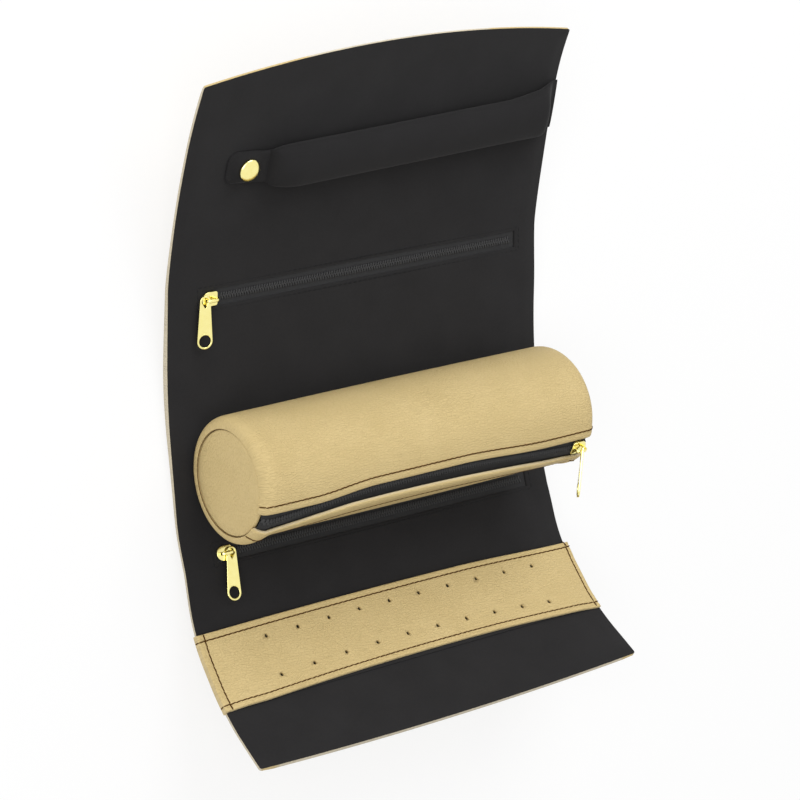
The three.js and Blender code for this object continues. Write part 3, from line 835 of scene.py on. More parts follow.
@dataclass(frozen=True)
class Seam:
    """A row of stitches: pitch, thread and how far the stitches slant."""

    pitch: float = 2.9 * MM
    length: float = 3.4 * MM
    width: float = 0.62 * MM
    slant: float = 5.0

    def along(self, line: Line, low: float, high: float) -> Shell:
        """Stitches along a line.

        Args:
            line: Gives points and outward directions for places along the line.
            low: First place.
            high: Last place.

        Returns:
            All the stitches as one shell.
        """
        count = max(2, int(round(abs(high - low) / self.pitch)))
        step = (high - low) / count
        middle = low + step * (np.arange(count) + 0.5)
        points, up = line(middle)
        along = line(middle + step / 4)[0] - line(middle - step / 4)[0]
        frames = frames_on(points, along, up) @ spin("Z", self.slant)
        return repeated(stitch(self.length, self.width), frames)


# The panel


@dataclass(frozen=True)
class Bend:
    """How a fold is rounded at rest, where the cloth turns when it moves, and how that line leans."""

    joint: str
    near: float
    far: float
    before: float
    after: float
    lean: float = 0.0


@dataclass(frozen=True)
class Fold:
    """One fold of the panel, at a distance from the middle of the spine."""

    inner: str
    outer: str
    at: float
    turn: float
    bend: Bend


@dataclass
class Side:
    """One run of the panel, from the middle of the spine to a free edge."""

    sign: int
    folds: list[Fold]
    edge: float
    bow: float
    slant: float
    rise: float
    corners: Array = field(init=False)
    ways: Array = field(init=False)
    starts: Array = field(init=False)

    def __post_init__(self) -> None:
        """Works out the corner and direction of each flat stretch."""
        turns = np.cumsum([0.0] + [fold.turn for fold in self.folds])
        self.ways = np.stack([np.cos(turns), np.sin(turns)], -1)
        self.starts = np.array([0.0] + [fold.at for fold in self.folds])
        legs = np.diff(self.starts)[:, None] * self.ways[:-1]
        self.corners = np.concatenate([[[0.0, self.rise]], [0.0, self.rise] + np.cumsum(legs, 0)])

    def edge_at(self, x: Array, half: float) -> Array:
        """Distance of the free edge from the spine's middle: a parabola along the roll, slanted a little."""
        return self.edge + self.bow * (1.0 - (x / half) ** 2) + self.slant * x / half

    def profile(self, distance: Array) -> tuple[Array, Array]:
        """Line of the lining in (Y, Z): straight stretches joined by parabolas.

        Args:
            distance: Distances along the panel from the middle of the spine.

        Returns:
            Points and directions, each with a last axis of 2.
        """
        index = np.clip(np.searchsorted(self.starts, distance, side="right") - 1, 0, len(self.folds))
        points = self.corners[index] + (distance - self.starts[index])[..., None] * self.ways[index]
        ways = self.ways[index]
        for number, fold in enumerate(self.folds, 1):
            near, far = fold.bend.near, fold.bend.far
            gone = np.clip(distance - (fold.at - near), 0.0, near + far)
            share = (gone / (near + np.sqrt(near ** 2 + (far - near) * gone)))[..., None]
            corner = self.corners[number]
            first = corner - near * self.ways[number - 1]
            last = corner + far * self.ways[number]
            curve = (1 - share) ** 2 * first + 2 * share * (1 - share) * corner + share ** 2 * last
            slope = (1 - share) * (corner - first) + share * (last - corner)
            inside = ((distance > fold.at - near) & (distance < fold.at + far))[..., None]
            points = np.where(inside, curve, points)
            ways = np.where(inside, slope / np.linalg.norm(slope, axis=-1, keepdims=True), ways)
        return points, ways


@dataclass
class PanelForm:
    """Form of the open panel: two runs of folds, and a slight twist of its two free ends."""

    half_width: float
    lower: Side
    upper: Side
    snap: tuple[float, float]
    lower_twist: float = 12.4 * MM
    lower_twist_from: float = 47 * MM
    lower_twist_over: float = 95 * MM
    lower_twist_slide: float = 0.55
    upper_twist: float = 6.4 * MM
    upper_twist_from: float = 77 * MM
    upper_twist_over: float = 100 * MM
    upper_twist_late: float = 28 * MM
    snap_reach: float = 24 * MM
    side_bow: float = 1.4 * MM
    side_bow_half: float = 46 * MM
    side_bow_fade: float = 34 * MM
    corner_radius: float = 1.2 * MM

    @property
    def sides(self) -> tuple[Side, Side]:
        """Both runs of the panel."""
        return self.lower, self.upper

    def twist(self, x: Array, y: Array) -> tuple[Array, Array]:
        """Shift that lifts the lower right and the upper left corner: sine and eased shares of each end.

        Args:
            x: Places along the roll.
            y: Places up the flat panel.

        Returns:
            Shifts in Y and Z.
        """
        share = x / self.half_width / 2
        low = np.clip((-y - self.lower_twist_from) / self.lower_twist_over, 0.0, 1.0)
        lift = self.lower_twist * np.sin(low * np.pi / 2) * share
        late = self.upper_twist_late * ease(x / self.half_width)
        high = ease((y - self.upper_twist_from - late) / (self.upper_twist_over - late))
        reach = ((x - self.snap[0]) ** 2 + (y - self.snap[1]) ** 2) / self.snap_reach ** 2
        drop = self.upper_twist * high * share * (1.0 - np.exp(-reach))
        return self.lower_twist_slide * lift * low, lift - drop

    def place(self, x: Array | float, y: Array | float, height: Array | float) -> Array:
        """Points of the panel: its profile carried along X and twisted; its right edge bows out at the pouch.

        Args:
            x: Places along the roll.
            y: Places up the flat panel.
            height: Heights over the lining.

        Returns:
            Points, with a last axis of 3.
        """
        x, y, height = np.broadcast_arrays(x, y, height)
        bow = self.side_bow * (1.0 - ease((np.abs(y) - self.side_bow_half) / self.side_bow_fade))
        up_line, up_way = self.upper.profile(np.abs(y))
        low_line, low_way = self.lower.profile(np.abs(y))
        above = (y >= 0)[..., None]
        line = np.where(above, up_line, low_line)
        way = np.where(above, up_way, low_way)
        sign = np.where(y >= 0, 1.0, -1.0)
        dy, dz = self.twist(x, y)
        return np.stack([
            x + bow * ease(x / self.half_width),
            sign * (line[..., 0] - height * way[..., 1]) + dy,
            line[..., 1] + height * way[..., 0] + dz,
        ], -1)

    def outward(self, x: Array | float, y: Array | float) -> Array:
        """Directions out of the lining."""
        made = self.place(x, y, MM) - self.place(x, y, 0.0)
        return made / np.linalg.norm(made, axis=-1, keepdims=True)

    def layer(self, x: Array, y: Array, top: Array | float, bottom: Array | float, keep: Array | None = None,
              edge: Array | None = None) -> Shell:
        """Closed sheet on the panel between two heights over the lining; the rest is as for slab."""
        return slab(self.place(x, y, top), self.place(x, y, bottom), np.stack([x, y], -1), keep, edge)

    def plane(self, y: float) -> Array:
        """Matrix of the flat stretch at a place.

        Args:
            y: Place up the flat panel.

        Returns:
            Matrix with X along the roll, Y up the panel and Z out of the lining.
        """
        side = self.upper if y >= 0 else self.lower
        point, way = side.profile(np.array([abs(y)]))
        tilt = math.degrees(math.atan2(way[0, 1], way[0, 0])) * side.sign
        return shift(0.0, side.sign * point[0, 0], point[0, 1]) @ spin("X", tilt)

    def margins(self, x: Array, y: Array) -> tuple[Array, Array]:
        """Distances to the nearest side edge and to the free end."""
        ends = [side.edge_at(x, self.half_width) - side.sign * y for side in self.sides]
        return self.half_width - np.abs(x), np.where(y >= 0, ends[1], ends[0])

    def margin(self, x: Array, y: Array) -> Array:
        """Distance to the nearest free edge, by quarter circles at the corners.

        Args:
            x: Places along the roll.
            y: Places up the flat panel.

        Returns:
            The distances.
        """
        side, end = self.margins(x, y)
        radius = self.corner_radius
        out = np.hypot(np.maximum(radius - side, 0.0), np.maximum(radius - end, 0.0))
        return np.where((side < radius) & (end < radius), radius - out, np.minimum(side, end))

    def drawn_in(self, x: Array, y: Array, inset: float) -> Array:
        """Draws places in towards the free ends, so that the corners are quarter circles.

        Args:
            x: Places along the roll.
            y: Places up the flat panel.
            inset: How far the piece's edge lies inside the panel's.

        Returns:
            The places along the roll, drawn in.
        """
        radius = self.corner_radius - inset
        gone = np.clip(radius + inset - self.margins(x, y)[1], 0.0, radius)
        half = self.half_width - inset
        return x * (half - radius + np.sqrt(radius ** 2 - gone ** 2)) / half


@dataclass(frozen=True)
class Layout:
    """Where things lie along the panel: the bends of its folds, its two flaps and what is sewn to it.

    Each flap has its length past the last fold, the bow of its edge and the slant of that edge.
    """

    lower_bends: tuple[Bend, ...] = (
        Bend("lower_fold", 8 * MM, 8 * MM, 6 * MM, 6.5 * MM),
        Bend("earring_fold", 14 * MM, 14 * MM, 10.7 * MM, 0.5 * MM),
        Bend("bottom_flap_fold", 14 * MM, 14 * MM, 0.8 * MM, 10.7 * MM),
    )
    upper_bends: tuple[Bend, ...] = (
        Bend("upper_fold", 20 * MM, 20 * MM, 10 * MM, 10 * MM),
        Bend("middle_fold", 6 * MM, 20 * MM, 5 * MM, 11 * MM),
        Bend("ring_fold", 14 * MM, 14 * MM, 8 * MM, 6 * MM),
        Bend("top_flap_fold", 14 * MM, 14 * MM, 6.1 * MM, 33.5 * MM, lean=0.123),
    )
    lower_flap: tuple[float, float, float] = (29.7 * MM, 2.5 * MM, 0.0)
    upper_flap: tuple[float, float, float] = (20.6 * MM, 9.3 * MM, 0.5 * MM)
    zip_past_lower_fold: float = 12 * MM
    zip_before_middle_fold: float = 11 * MM
    strip_clearance: float = 0.4 * MM
    snap_past_ring_fold: float = 15.25 * MM
    bar_past_ring_fold: float = 17.5 * MM

    def side(self, sign: int) -> Side:
        """One run of the panel, from the fold joints of the frame.

        Args:
            sign: 1 for the upper run and -1 for the lower one.

        Returns:
            The run.
        """
        bends, flap = (self.upper_bends, self.upper_flap) if sign > 0 else (self.lower_bends, self.lower_flap)
        joints = {joint["name"]: joint for joint in frame["joints"]}
        rise = joints["upper_fold"]["pos_m"][2]
        folds, last, gone = [], Vector((0.0, 0.0, rise)), 0.0
        for bend in bends:
            joint = joints[bend.joint]
            point = Vector(joint["pos_m"])
            gone += (point - last).length
            last = point
            turn = math.radians(-joint["range_deg"][0])
            folds.append(Fold(joint["parent"], joint["child"], gone, turn, bend))
        length, bow, slant = flap
        return Side(sign, folds, gone + length, bow, slant, rise)

    def form(self) -> PanelForm:
        """The panel's form, from the fold joints and the boxes of the frame.

        Returns:
            The form.
        """
        low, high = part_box("cover_spine")
        lower, upper = self.side(-1), self.side(1)
        cap_low, cap_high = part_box("snap_cap")
        snap = ((cap_low.x + cap_high.x) / 2, upper.folds[2].at + self.snap_past_ring_fold)
        return PanelForm((high.x - low.x) / 2, lower, upper, snap)


@dataclass
class Panel:
    """Cover, lining, wadding, pocket backs and magnets of the panel."""

    form: PanelForm
    slots: tuple[float, float]
    slot_left: float = -87.3 * MM
    slot_right: float = 92 * MM
    slot_half_height: float = 4 * MM
    slot_roll: float = 1.6 * MM
    thickness: float = 4.2 * MM
    side_thickness: float = 1.9 * MM
    side_swell: float = 1.8 * MM
    swell_place: float = 40 * MM
    swell_length: float = 42 * MM
    upper_thickness: float = 1.5 * MM
    lower_thickness: float = 2.5 * MM
    thinning: float = 16 * MM
    rim_drop: float = 0.5 * MM
    rim_width: float = 7 * MM
    edge_radius: float = 0.8 * MM
    lining_inset: float = 0.05 * MM
    lining_edge: float = 0.22 * MM
    lining_thickness: float = 0.6 * MM
    lining_wave: float = 0.16 * MM
    leather_thickness: float = 1.3 * MM
    seam_gap: float = 0.18 * MM
    pad_gap: float = 0.15 * MM
    pad_clearance: float = 0.3 * MM
    pad_half_length: float = 99 * MM
    pad_inset: float = 6 * MM
    back_thickness: float = 0.5 * MM
    magnet_places: tuple[float, float] = (-60 * MM, 60 * MM)
    magnet_radius: float = 5 * MM
    magnet_thickness: float = 1.4 * MM
    magnet_bevel: float = 0.2 * MM
    magnet_depth: float = 2.5 * MM
    magnet_room: float = 5.6 * MM
    step: float = 2.2 * MM

    def drop(self, margin: Array) -> Array:
        """How far the lining falls towards the free edges."""
        return self.rim_drop * (1.0 - ease(margin / self.rim_width))

    def depth(self, x: Array, y: Array) -> Array:
        """Depth of the cover's outer face, eased from thin edges; the sides swell as a bell round one place.

        Args:
            x: Places along the roll.
            y: Places up the flat panel.

        Returns:
            The depths under the lining's line.
        """
        margins = self.form.margins(x, y)
        side = self.side_thickness + self.side_swell * bell(y - self.swell_place, self.swell_length)
        end = np.where(y < 0, self.lower_thickness, self.upper_thickness)
        edges = [thick + self.rim_drop for thick in (side, end)]
        return np.minimum(*[edge + (self.thickness - edge) * ease(margin / self.thinning)
                            for edge, margin in zip(edges, margins)])

    def lining_depth(self, margin: Array) -> Array:
        """Thickness of the lining, which is pressed thin at the free edges."""
        share = ease((margin - 0.3 * MM) / (2 * MM))
        return self.lining_edge + (self.lining_thickness - self.lining_edge) * share

    def rows_and_columns(self, side: Side, first: float, last: float, free: bool,
                         inset: float) -> tuple[Array, Array]:
        """Flat grid of one piece, closer at its edges and the slots.

        Args:
            side: Run of the panel that the piece lies in.
            first: Its first distance from the spine's middle.
            last: Its last distance.
            free: Whether it goes out to the bowed edge.
            inset: How far its edge lies inside the panel's.

        Returns:
            Places along the roll and up the flat panel.
        """
        half = self.form.half_width - inset
        fine = MM * np.array([0.12, 0.3, 0.45, 0.8, 1.4, 2.4, 4, 6])
        x = places(-half, half, 1.5 * self.step, [self.slot_left, self.slot_right], fine)
        near = [abs(y) + k * self.slot_half_height for y in self.slots for k in (-1, 1)
                if np.sign(y) == side.sign and first < abs(y) < last]
        share = (places(first, last, self.step, near, fine) - first) / (last - first)
        x, share = np.meshgrid(x, share, indexing="xy")
        if not free:
            return x, side.sign * (first + share * (last - first))
        y = side.sign * (first + share * (side.edge_at(x, self.form.half_width) - inset - first))
        return self.form.drawn_in(x, y, inset), y

    def slot_distance(self, x: Array, y: Array) -> Array:
        """Distance outside the nearer zip slot; it is negative inside."""
        up = np.minimum(*[np.abs(y - slot) for slot in self.slots]) - self.slot_half_height
        return np.maximum(np.maximum(self.slot_left - x, x - self.slot_right), up)

    def lining_piece(self, side: Side, first: float, last: float, free: bool) -> Shell:
        """Lining between two distances: faint crossed sines, with edges rolled down as quarter rounds.

        Args:
            side: Run of the panel.
            first: First distance from the spine's middle.
            last: Last distance.
            free: Whether the piece goes out to the free edge.

        Returns:
            The piece, slit for the zips.
        """
        x, y = self.rows_and_columns(side, first, last, free, self.lining_inset)
        margin = self.form.margin(x, y)
        slit = self.slot_distance(x, y)
        wave = self.lining_wave * np.sin(x / (23 * MM) + 1.3) * np.sin(y / (17 * MM) + 0.4)
        roll = 0.35 * MM * (1.0 - rounded(slit, self.slot_roll))
        roll = roll + 0.15 * MM * (1.0 - rounded(margin, self.edge_radius))
        top = wave * ease(margin / (20 * MM)) - self.drop(margin) - roll
        keep = slit > 1e-7
        cells = keep[:-1, :-1] | keep[1:, :-1] | keep[:-1, 1:] | keep[1:, 1:]
        return self.form.layer(x, y, top, top - self.lining_depth(margin), cells)

    def cover_piece(self, side: Side, first: float, last: float, free: bool) -> Shell:
        """Leather between two distances, with its cut edge flush with the lining.

        Args:
            side: Run of the panel.
            first: First distance from the spine's middle.
            last: Last distance.
            free: Whether the piece goes out to the free edge.

        Returns:
            The piece.
        """
        x, y = self.rows_and_columns(side, first, last, free, 0.0)
        margin = self.form.margin(x, y)
        depth = self.depth(x, y)
        under = self.lining_depth(margin) + self.seam_gap + self.drop(margin)
        inner = np.maximum(depth - self.leather_thickness, under)
        top = under + (inner - under) * ease((margin - self.edge_radius) / (3 * MM))
        outer = depth - 0.3 * MM * (1.0 - rounded(margin, self.edge_radius))
        return self.form.layer(x, y, -top, -outer, edge=(margin < 0.05 * MM).astype(float))

    def turning(self, side: Side, fold: Fold) -> list[Array]:
        """Start and end of the turn at a fold; with a lean, the sheet turns later at its left edge.

        Args:
            side: Run of the panel.
            fold: The fold.

        Returns:
            The two points.
        """
        start, end = [self.form.place(0.0, side.sign * (fold.at + off), 0.0)
                      for off in (-fold.bend.before, fold.bend.after)]
        span = np.linalg.norm(end - start)
        way = (end - start) / span + np.array([fold.bend.lean, 0.0, 0.0])
        return [start, start + way * span / (1.0 + fold.bend.lean ** 2)]

    def carry(self, piece: Piece, body: str) -> None:
        """Makes a piece inside the panel move with its stretch; if that stretch's fold leans, the piece is
        only fixed where it stands.

        Args:
            piece: The piece.
            body: Body of the stretch.
        """
        for side in self.form.sides:
            for fold in side.folds:
                if fold.outer == body and fold.bend.lean:
                    fold.inner
                    fold.outer
                    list(self.turning(side, fold))
                    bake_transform(piece)
                    return
        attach(piece, body)

    def sheets(self) -> None:
        """Makes the cover and lining, one piece across each fold."""
        for side in self.form.sides:
            stops = [0.0] + [(a.at + b.at) / 2 for a, b in zip(side.folds, side.folds[1:])] + [side.edge]
            for fold, first, last in zip(side.folds, stops, stops[1:]):
                free = last == side.edge
                points = self.turning(side, fold)
                run = (side, first, last, free)
                cover = make_piece(f"leather_{fold.outer}", self.cover_piece(*run), LEATHER)
                lining = make_piece(f"cloth_{fold.outer}", self.lining_piece(*run), LINING)
                spine = ["spine"] if fold is side.folds[0] and side.sign > 0 else []
                for piece, kind in ((cover, "cover"), (lining, "lining")):
                    fold.inner
                    fold.outer
                    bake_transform(piece)
                    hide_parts(*[f"{kind}_{body}" for body in [fold.outer, *spine]])
                self.declare(lining, cover, *run)

    def declare(self, lining: Piece, cover: Piece, side: Side, first: float, last: float, free: bool) -> None:
        """Counts the zip slits in one lining piece; the count is not used further.

        Args:
            lining: The sheet; not used.
            cover: The leather under it; not used.
            side: Run of the panel.
            first: First distance from the spine's middle.
            last: Last distance.
            free: Whether the piece goes out to the free edge; not used.
        """
        slits = sum(np.sign(y) == side.sign and first < abs(y) < last for y in self.slots)

    def spans(self) -> dict[str, tuple[float, float]]:
        """The flat stretch of each body.

        Returns:
            The stretch's two ends up the flat panel, by body.
        """
        found = {"spine": (-self.form.lower.folds[0].at, self.form.upper.folds[0].at)}
        for side in self.form.sides:
            ends = [fold.at for fold in side.folds] + [side.edge]
            for fold, near, far in zip(side.folds, ends, ends[1:]):
                found[fold.outer] = tuple(sorted((side.sign * near, side.sign * far)))
        return found

    def filling(self) -> None:
        """Makes the wadding, or the pocket's back, inside each stretch."""
        room = [self.magnet_room]
        across = places(-self.pad_half_length, self.pad_half_length, 4 * MM, self.magnet_places, room)
        for body, (low, high) in self.spans().items():
            middle = (low + high) / 2
            up = places(low + self.pad_inset, high - self.pad_inset, 3 * MM, [middle], room)
            x, y = np.meshgrid(across, up, indexing="xy")
            floor = self.leather_thickness + self.pad_gap - self.depth(x, y)
            if any(low < slot < high for slot in self.slots):
                back = self.form.layer(x, y, floor + self.back_thickness, floor)
                back = make_piece(f"cloth_back_{body}", back, LINING)
                fit(back, body, f"pocket_back_{body}")
                continue
            keep = None
            if f"magnet_{body}_left" in frame["nodes"]:
                cell_x, cell_y = [(grid[1:, 1:] + grid[:-1, :-1]) / 2 for grid in (x, y)]
                aside = np.minimum(*[np.abs(cell_x - place) for place in self.magnet_places])
                keep = np.maximum(aside, np.abs(cell_y - middle)) >= self.magnet_room
                self.magnets(body, middle)
            lining = self.lining_thickness + self.drop(self.form.margin(x, y))
            ceiling = np.maximum(-lining - self.pad_clearance, floor + self.pad_clearance)
            pad = make_piece(f"wadding_{body}", self.form.layer(x, y, ceiling, floor, keep), WADDING)
            self.carry(pad, body)
            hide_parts(f"padding_{body}")

    def magnets(self, body: str, y: float) -> None:
        """Makes the two closing magnets of one stretch.

        Args:
            body: Body of the stretch.
            y: Their place up the flat panel.
        """
        radius, high, bevel = self.magnet_radius, self.magnet_thickness, self.magnet_bevel
        disc = turned([(0, 0), (radius - bevel, 0), (radius, bevel), (radius, high - bevel),
                       (radius - bevel, high), (0, high)])
        for end, x in zip(End, np.array(self.magnet_places)[:, None]):
            points = self.form.place(x, y, -self.magnet_depth)
            frames = frames_on(points, np.array([[1.0, 0.0, 0.0]]), self.form.outward(x, y))
            name = f"magnet_{body}_{end.name.lower()}"
            magnet = make_piece(f"closing_{name}", repeated(disc, frames), STEEL)
            self.carry(magnet, body)
            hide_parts(name)


# Zips


@dataclass(frozen=True)
class ZipSizes:
    """Sizes that the three zips share; heights are from the top of the tape."""

    centre_gap: float = 0.55 * MM
    tape_width: float = 9 * MM
    tape_thickness: float = 0.35 * MM
    tooth_pitch: float = 1.4 * MM
    tooth_reach: float = 1.1 * MM
    tooth_overlap: float = 0.4 * MM
    tooth_height: float = 0.5 * MM
    tooth_slant: float = 14.0
    slider_length: float = 8.4 * MM
    slider_width: float = 6.6 * MM
    slider_corner: float = 1.2 * MM
    front_bottom: float = 1.5 * MM
    front_top: float = 2.2 * MM
    bridge_height: float = 4.5 * MM
    bridge_bar: float = 0.9 * MM
    bridge_depth: float = 1.5 * MM
    bridge_bend: float = 1.1 * MM
    bridge_span: float = 6.4 * MM
    pull_thickness: float = 1 * MM
    pull_reach: float = 18 * MM
    eye_radius: float = 2.5 * MM
    eye_hole: float = 1.65 * MM
    eye_point: float = 3.3 * MM
    loop_radius: float = 3.65 * MM
    loop_hole: float = 2.75 * MM
    ring_radius: float = 3.1 * MM
    ring_half_width: float = 0.36 * MM
    ring_half_height: float = 0.56 * MM

    def teeth(self, x: Array, half: Half) -> Shell:
        """One half of the coil along X: slanting rounded loops that cross the middle by turns.

        Args:
            x: Places of the upper half's loops.
            half: Half of the zip.

        Returns:
            The loops.
        """
        loop = stitch(2 * self.tooth_reach, 0.66 * self.tooth_pitch)
        loop = loop.moved(spin("Z", 90 - self.tooth_slant * half.value))
        frames = np.tile(np.eye(4), (len(x), 1, 1))
        frames[:, 0, 3] = x + (self.tooth_pitch / 2 if half is Half.LOWER else 0.0)
        frames[:, 1, 3] = half.value * (self.tooth_reach - self.tooth_overlap)
        frames[:, 2, 3] = self.tooth_height
        return repeated(loop, frames)

    def slider(self, rear: float) -> Shell:
        """Slider body with its rounded nose towards -X: two plates, neck, side flanges and bridge.

        Args:
            rear: Height of the middle of its rear plate.

        Returns:
            The slider.
        """
        half, wide, corner = self.slider_length / 2, self.slider_width / 2, self.slider_corner
        outline = np.concatenate([
            arc((-half + wide, 0.0), wide, 90, 270, 24),
            arc((half - 1.4 * MM, -wide + corner), corner, 290, 360, 8),
            arc((half - 1.4 * MM, wide - corner), corner, 0, 70, 8),
        ])
        front = plate([outline], self.front_top - self.front_bottom + 0.15 * MM, 0.22 * MM)
        back = plate([outline], 0.5 * MM, 0.15 * MM)
        neck_x, flange_height = -half + 2.6 * MM, 0.95 * MM
        neck = np.array([[neck_x, 0, rear], [neck_x, 0, self.front_bottom + 0.2 * MM]])
        parts = [
            front.moved(shift(0, 0, (self.front_top + self.front_bottom) / 2)),
            back.moved(shift(0, 0, rear)),
            swept(neck, np.array([1.0, 0, 0]), 2.4 * MM, 0.6 * MM),
        ]
        for side in (-1, 1):
            y = side * (wide - 0.35 * MM)
            flange = np.array([[-half + wide, y, flange_height], [half - 1.6 * MM, y, flange_height]])
            parts.append(swept(flange, np.array([0, 1.0, 0]), 0.7 * MM, 1.4 * MM))
        return joined([*parts, self.bridge()])

    def bridge(self) -> Shell:
        """Arch over the front plate that holds the pull.

        Returns:
            The arch.
        """
        reach, bend = (self.bridge_span - self.bridge_bar) / 2, self.bridge_bend
        top = self.bridge_height + self.bridge_bar / 2
        left = arc((-reach + bend, top - bend), bend, 180, 90, 8)
        right = arc((reach - bend, top - bend), bend, 90, 0, 8)
        foot = self.front_top - 0.1 * MM
        line = np.concatenate([[[-reach, foot]], left, right, [[reach, foot]]])
        path = np.stack([line[:, 0], np.zeros(len(line)), line[:, 1]], -1)
        return swept(path, np.array([0, 1.0, 0]), self.bridge_depth, self.bridge_bar, 16)

    def pull(self) -> Shell:
        """Pull plate from its eye at the origin towards -Y: a drop-shaped eye and a rimmed hole.

        Returns:
            The plate and its rim as one shell.
        """
        far = (0, -self.pull_reach)
        rim = np.concatenate([arc((0, 0), self.eye_radius, 0, 180, 24),
                              arc(far, self.loop_radius, 180, 360, 32)])
        eye = np.concatenate([arc((0, 0), self.eye_hole, -20, 200, 24), [[0.0, -self.eye_point]]])
        hole = arc(far, self.loop_hole, 0, 352, 44)
        body = plate([rim, eye, hole], self.pull_thickness, 0.2 * MM)
        way, section = circle(48)[:, None], circle(10)
        radius = self.ring_radius + self.ring_half_width * np.cos(section)
        ring = np.stack([
            np.cos(way) * radius,
            np.sin(way) * radius - self.pull_reach,
            np.repeat(self.ring_half_height * np.sin(section)[None], len(way), 0),
        ], -1)
        faces = grid_faces(*ring.shape[:2], wrap=True, close=True)
        torus = Shell(ring.reshape(-1, 3), [faces], ring[..., :2].reshape(-1, 2)).outward()
        return joined([body, torus])

    def make_chain(self, name: str, body: str, reach: float, tape: Callable[[Half], Shell],
                   carry: Callable[[Array, Array, Array], Array]) -> None:
        """Makes the two tapes and the two halves of the coil.

        Args:
            name: Name of the zip.
            body: Body that it is sewn to.
            reach: Half the length of the coil.
            tape: Gives the tape of one half.
            carry: Takes places along and across the zip, and heights, to points.
        """
        for half in Half:
            ending = f"{name}_{half.name.lower()}"
            fit(make_piece(f"zip_tape_{ending}", tape(half), TAPE), body, f"tape_{ending}")
            teeth = self.teeth(steps(-reach, reach, self.tooth_pitch), half)
            teeth.points = carry(*teeth.points.T)
            fit(make_piece(f"zip_coil_{ending}", teeth, COIL), body, f"coil_{ending}")

    def make_runner(self, name: str, rear: float, seat: Array, hang: Array) -> None:
        """Makes the slider and its pull.

        Args:
            name: Name of the zip.
            rear: Height of the middle of the slider's rear plate.
            seat: Matrix of the slider.
            hang: Matrix of the pull.
        """
        for kind, shell in (("slider", self.slider(rear).moved(seat)), ("pull", self.pull().moved(hang))):
            piece = make_piece(f"zip_{kind}_{name}", shell, GOLD, METAL_SHARP)
            fit(piece, f"{name}_{kind}", f"{kind}_{name}")


@dataclass
class FlatZip:
    """Zip of a flat pocket, in a slot of the lining."""

    name: str
    panel: Panel
    y: float
    leg: End
    pull_turn: float = 0.0
    pull_roll: float = 0.0
    pull_shift: float = 0.0
    pull_rise: float = 0.8 * MM
    pull_tip: float = 0.0
    sizes: ZipSizes = ZipSizes()
    half_length: float = 92 * MM
    hidden_end: float = 5 * MM
    coil_end: float = 4 * MM
    tape_height: float = -0.9 * MM
    rib_place: float = 2.5 * MM
    rib_width: float = 0.35 * MM
    rib_height: float = 0.12 * MM
    slider_x: float = -83.8 * MM
    seam: Seam = Seam(2.9 * MM, 2.0 * MM, 0.4 * MM)
    seam_end: float = 2.5 * MM
    seam_side: float = 1.5 * MM

    def tape(self, half: Half) -> Shell:
        """One tape, with a raised rib beside the coil; it comes to the middle past the coil's ends.

        Args:
            half: Half of the zip.

        Returns:
            The tape.
        """
        end, reach = self.half_length + self.hidden_end, self.half_length - self.coil_end
        along = places(-end, end, 4 * MM, [-reach, reach], MM * np.array([0.7, 1.4, 2]))
        x, gone = np.meshgrid(along, steps(0.0, self.sizes.tape_width, 0.6 * MM), indexing="xy")
        gap = 0.03 * MM + self.sizes.centre_gap * (1.0 - ease((np.abs(x) - reach) / (2 * MM)))
        y = self.y + half.value * (gap + gone)
        rib = self.rib_height * bell(np.abs(y - self.y) - self.rib_place, self.rib_width)
        bottom = self.tape_height - self.sizes.tape_thickness
        return self.panel.form.layer(x, y, self.tape_height + rib, bottom)

    def carry(self, along: Array, across: Array, height: Array) -> Array:
        """Points on the panel from places in the zip and heights over its tape."""
        return self.panel.form.place(along, self.y + across, self.tape_height + height)

    def slider_and_pull(self) -> None:
        """Makes the slider and its pull, which lies flat round one leg of the bridge."""
        sizes = self.sizes
        seat = self.panel.form.plane(self.y) @ shift(self.slider_x, 0.0, self.tape_height)
        leg = self.leg.value * (sizes.bridge_span - sizes.bridge_bar) / 2 + self.pull_shift
        lie = shift(leg, 0.0, sizes.front_top + self.pull_rise) @ spin("Z", -self.pull_turn)
        lie = lie @ spin("X", -self.pull_tip) @ spin("Y", -self.pull_roll)
        sizes.make_runner(self.name, -sizes.tape_thickness - 0.5 * MM, seat, seat @ lie)

    def sewing(self) -> None:
        """Makes the stitches round the slot."""
        left, right = self.panel.slot_left - self.seam_end, self.panel.slot_right + self.seam_end
        near = self.panel.slot_half_height + self.seam_side
        low, high = self.y - near, self.y + near

        def on_lining(x: Array | float, y: Array | float) -> tuple[Array, Array]:
            """Points just over the lining and the directions out of it."""
            return self.panel.form.place(x, y, 0.05 * MM), self.panel.form.outward(x, y)

        rows = [self.seam.along(lambda x: on_lining(x, y), left, right) for y in (low, high)]
        rows += [self.seam.along(lambda y: on_lining(x, y), low, high) for x in (left, right)]
        fit(make_piece(f"slot_stitches_{self.name}", joined(rows), BLACK_THREAD), self.name)

    def build(self) -> None:
        """Makes the whole zip."""
        reach = self.half_length - self.coil_end
        self.sizes.make_chain(self.name, self.name, reach, self.tape, self.carry)
        self.slider_and_pull()
        self.sewing()


# The pouch


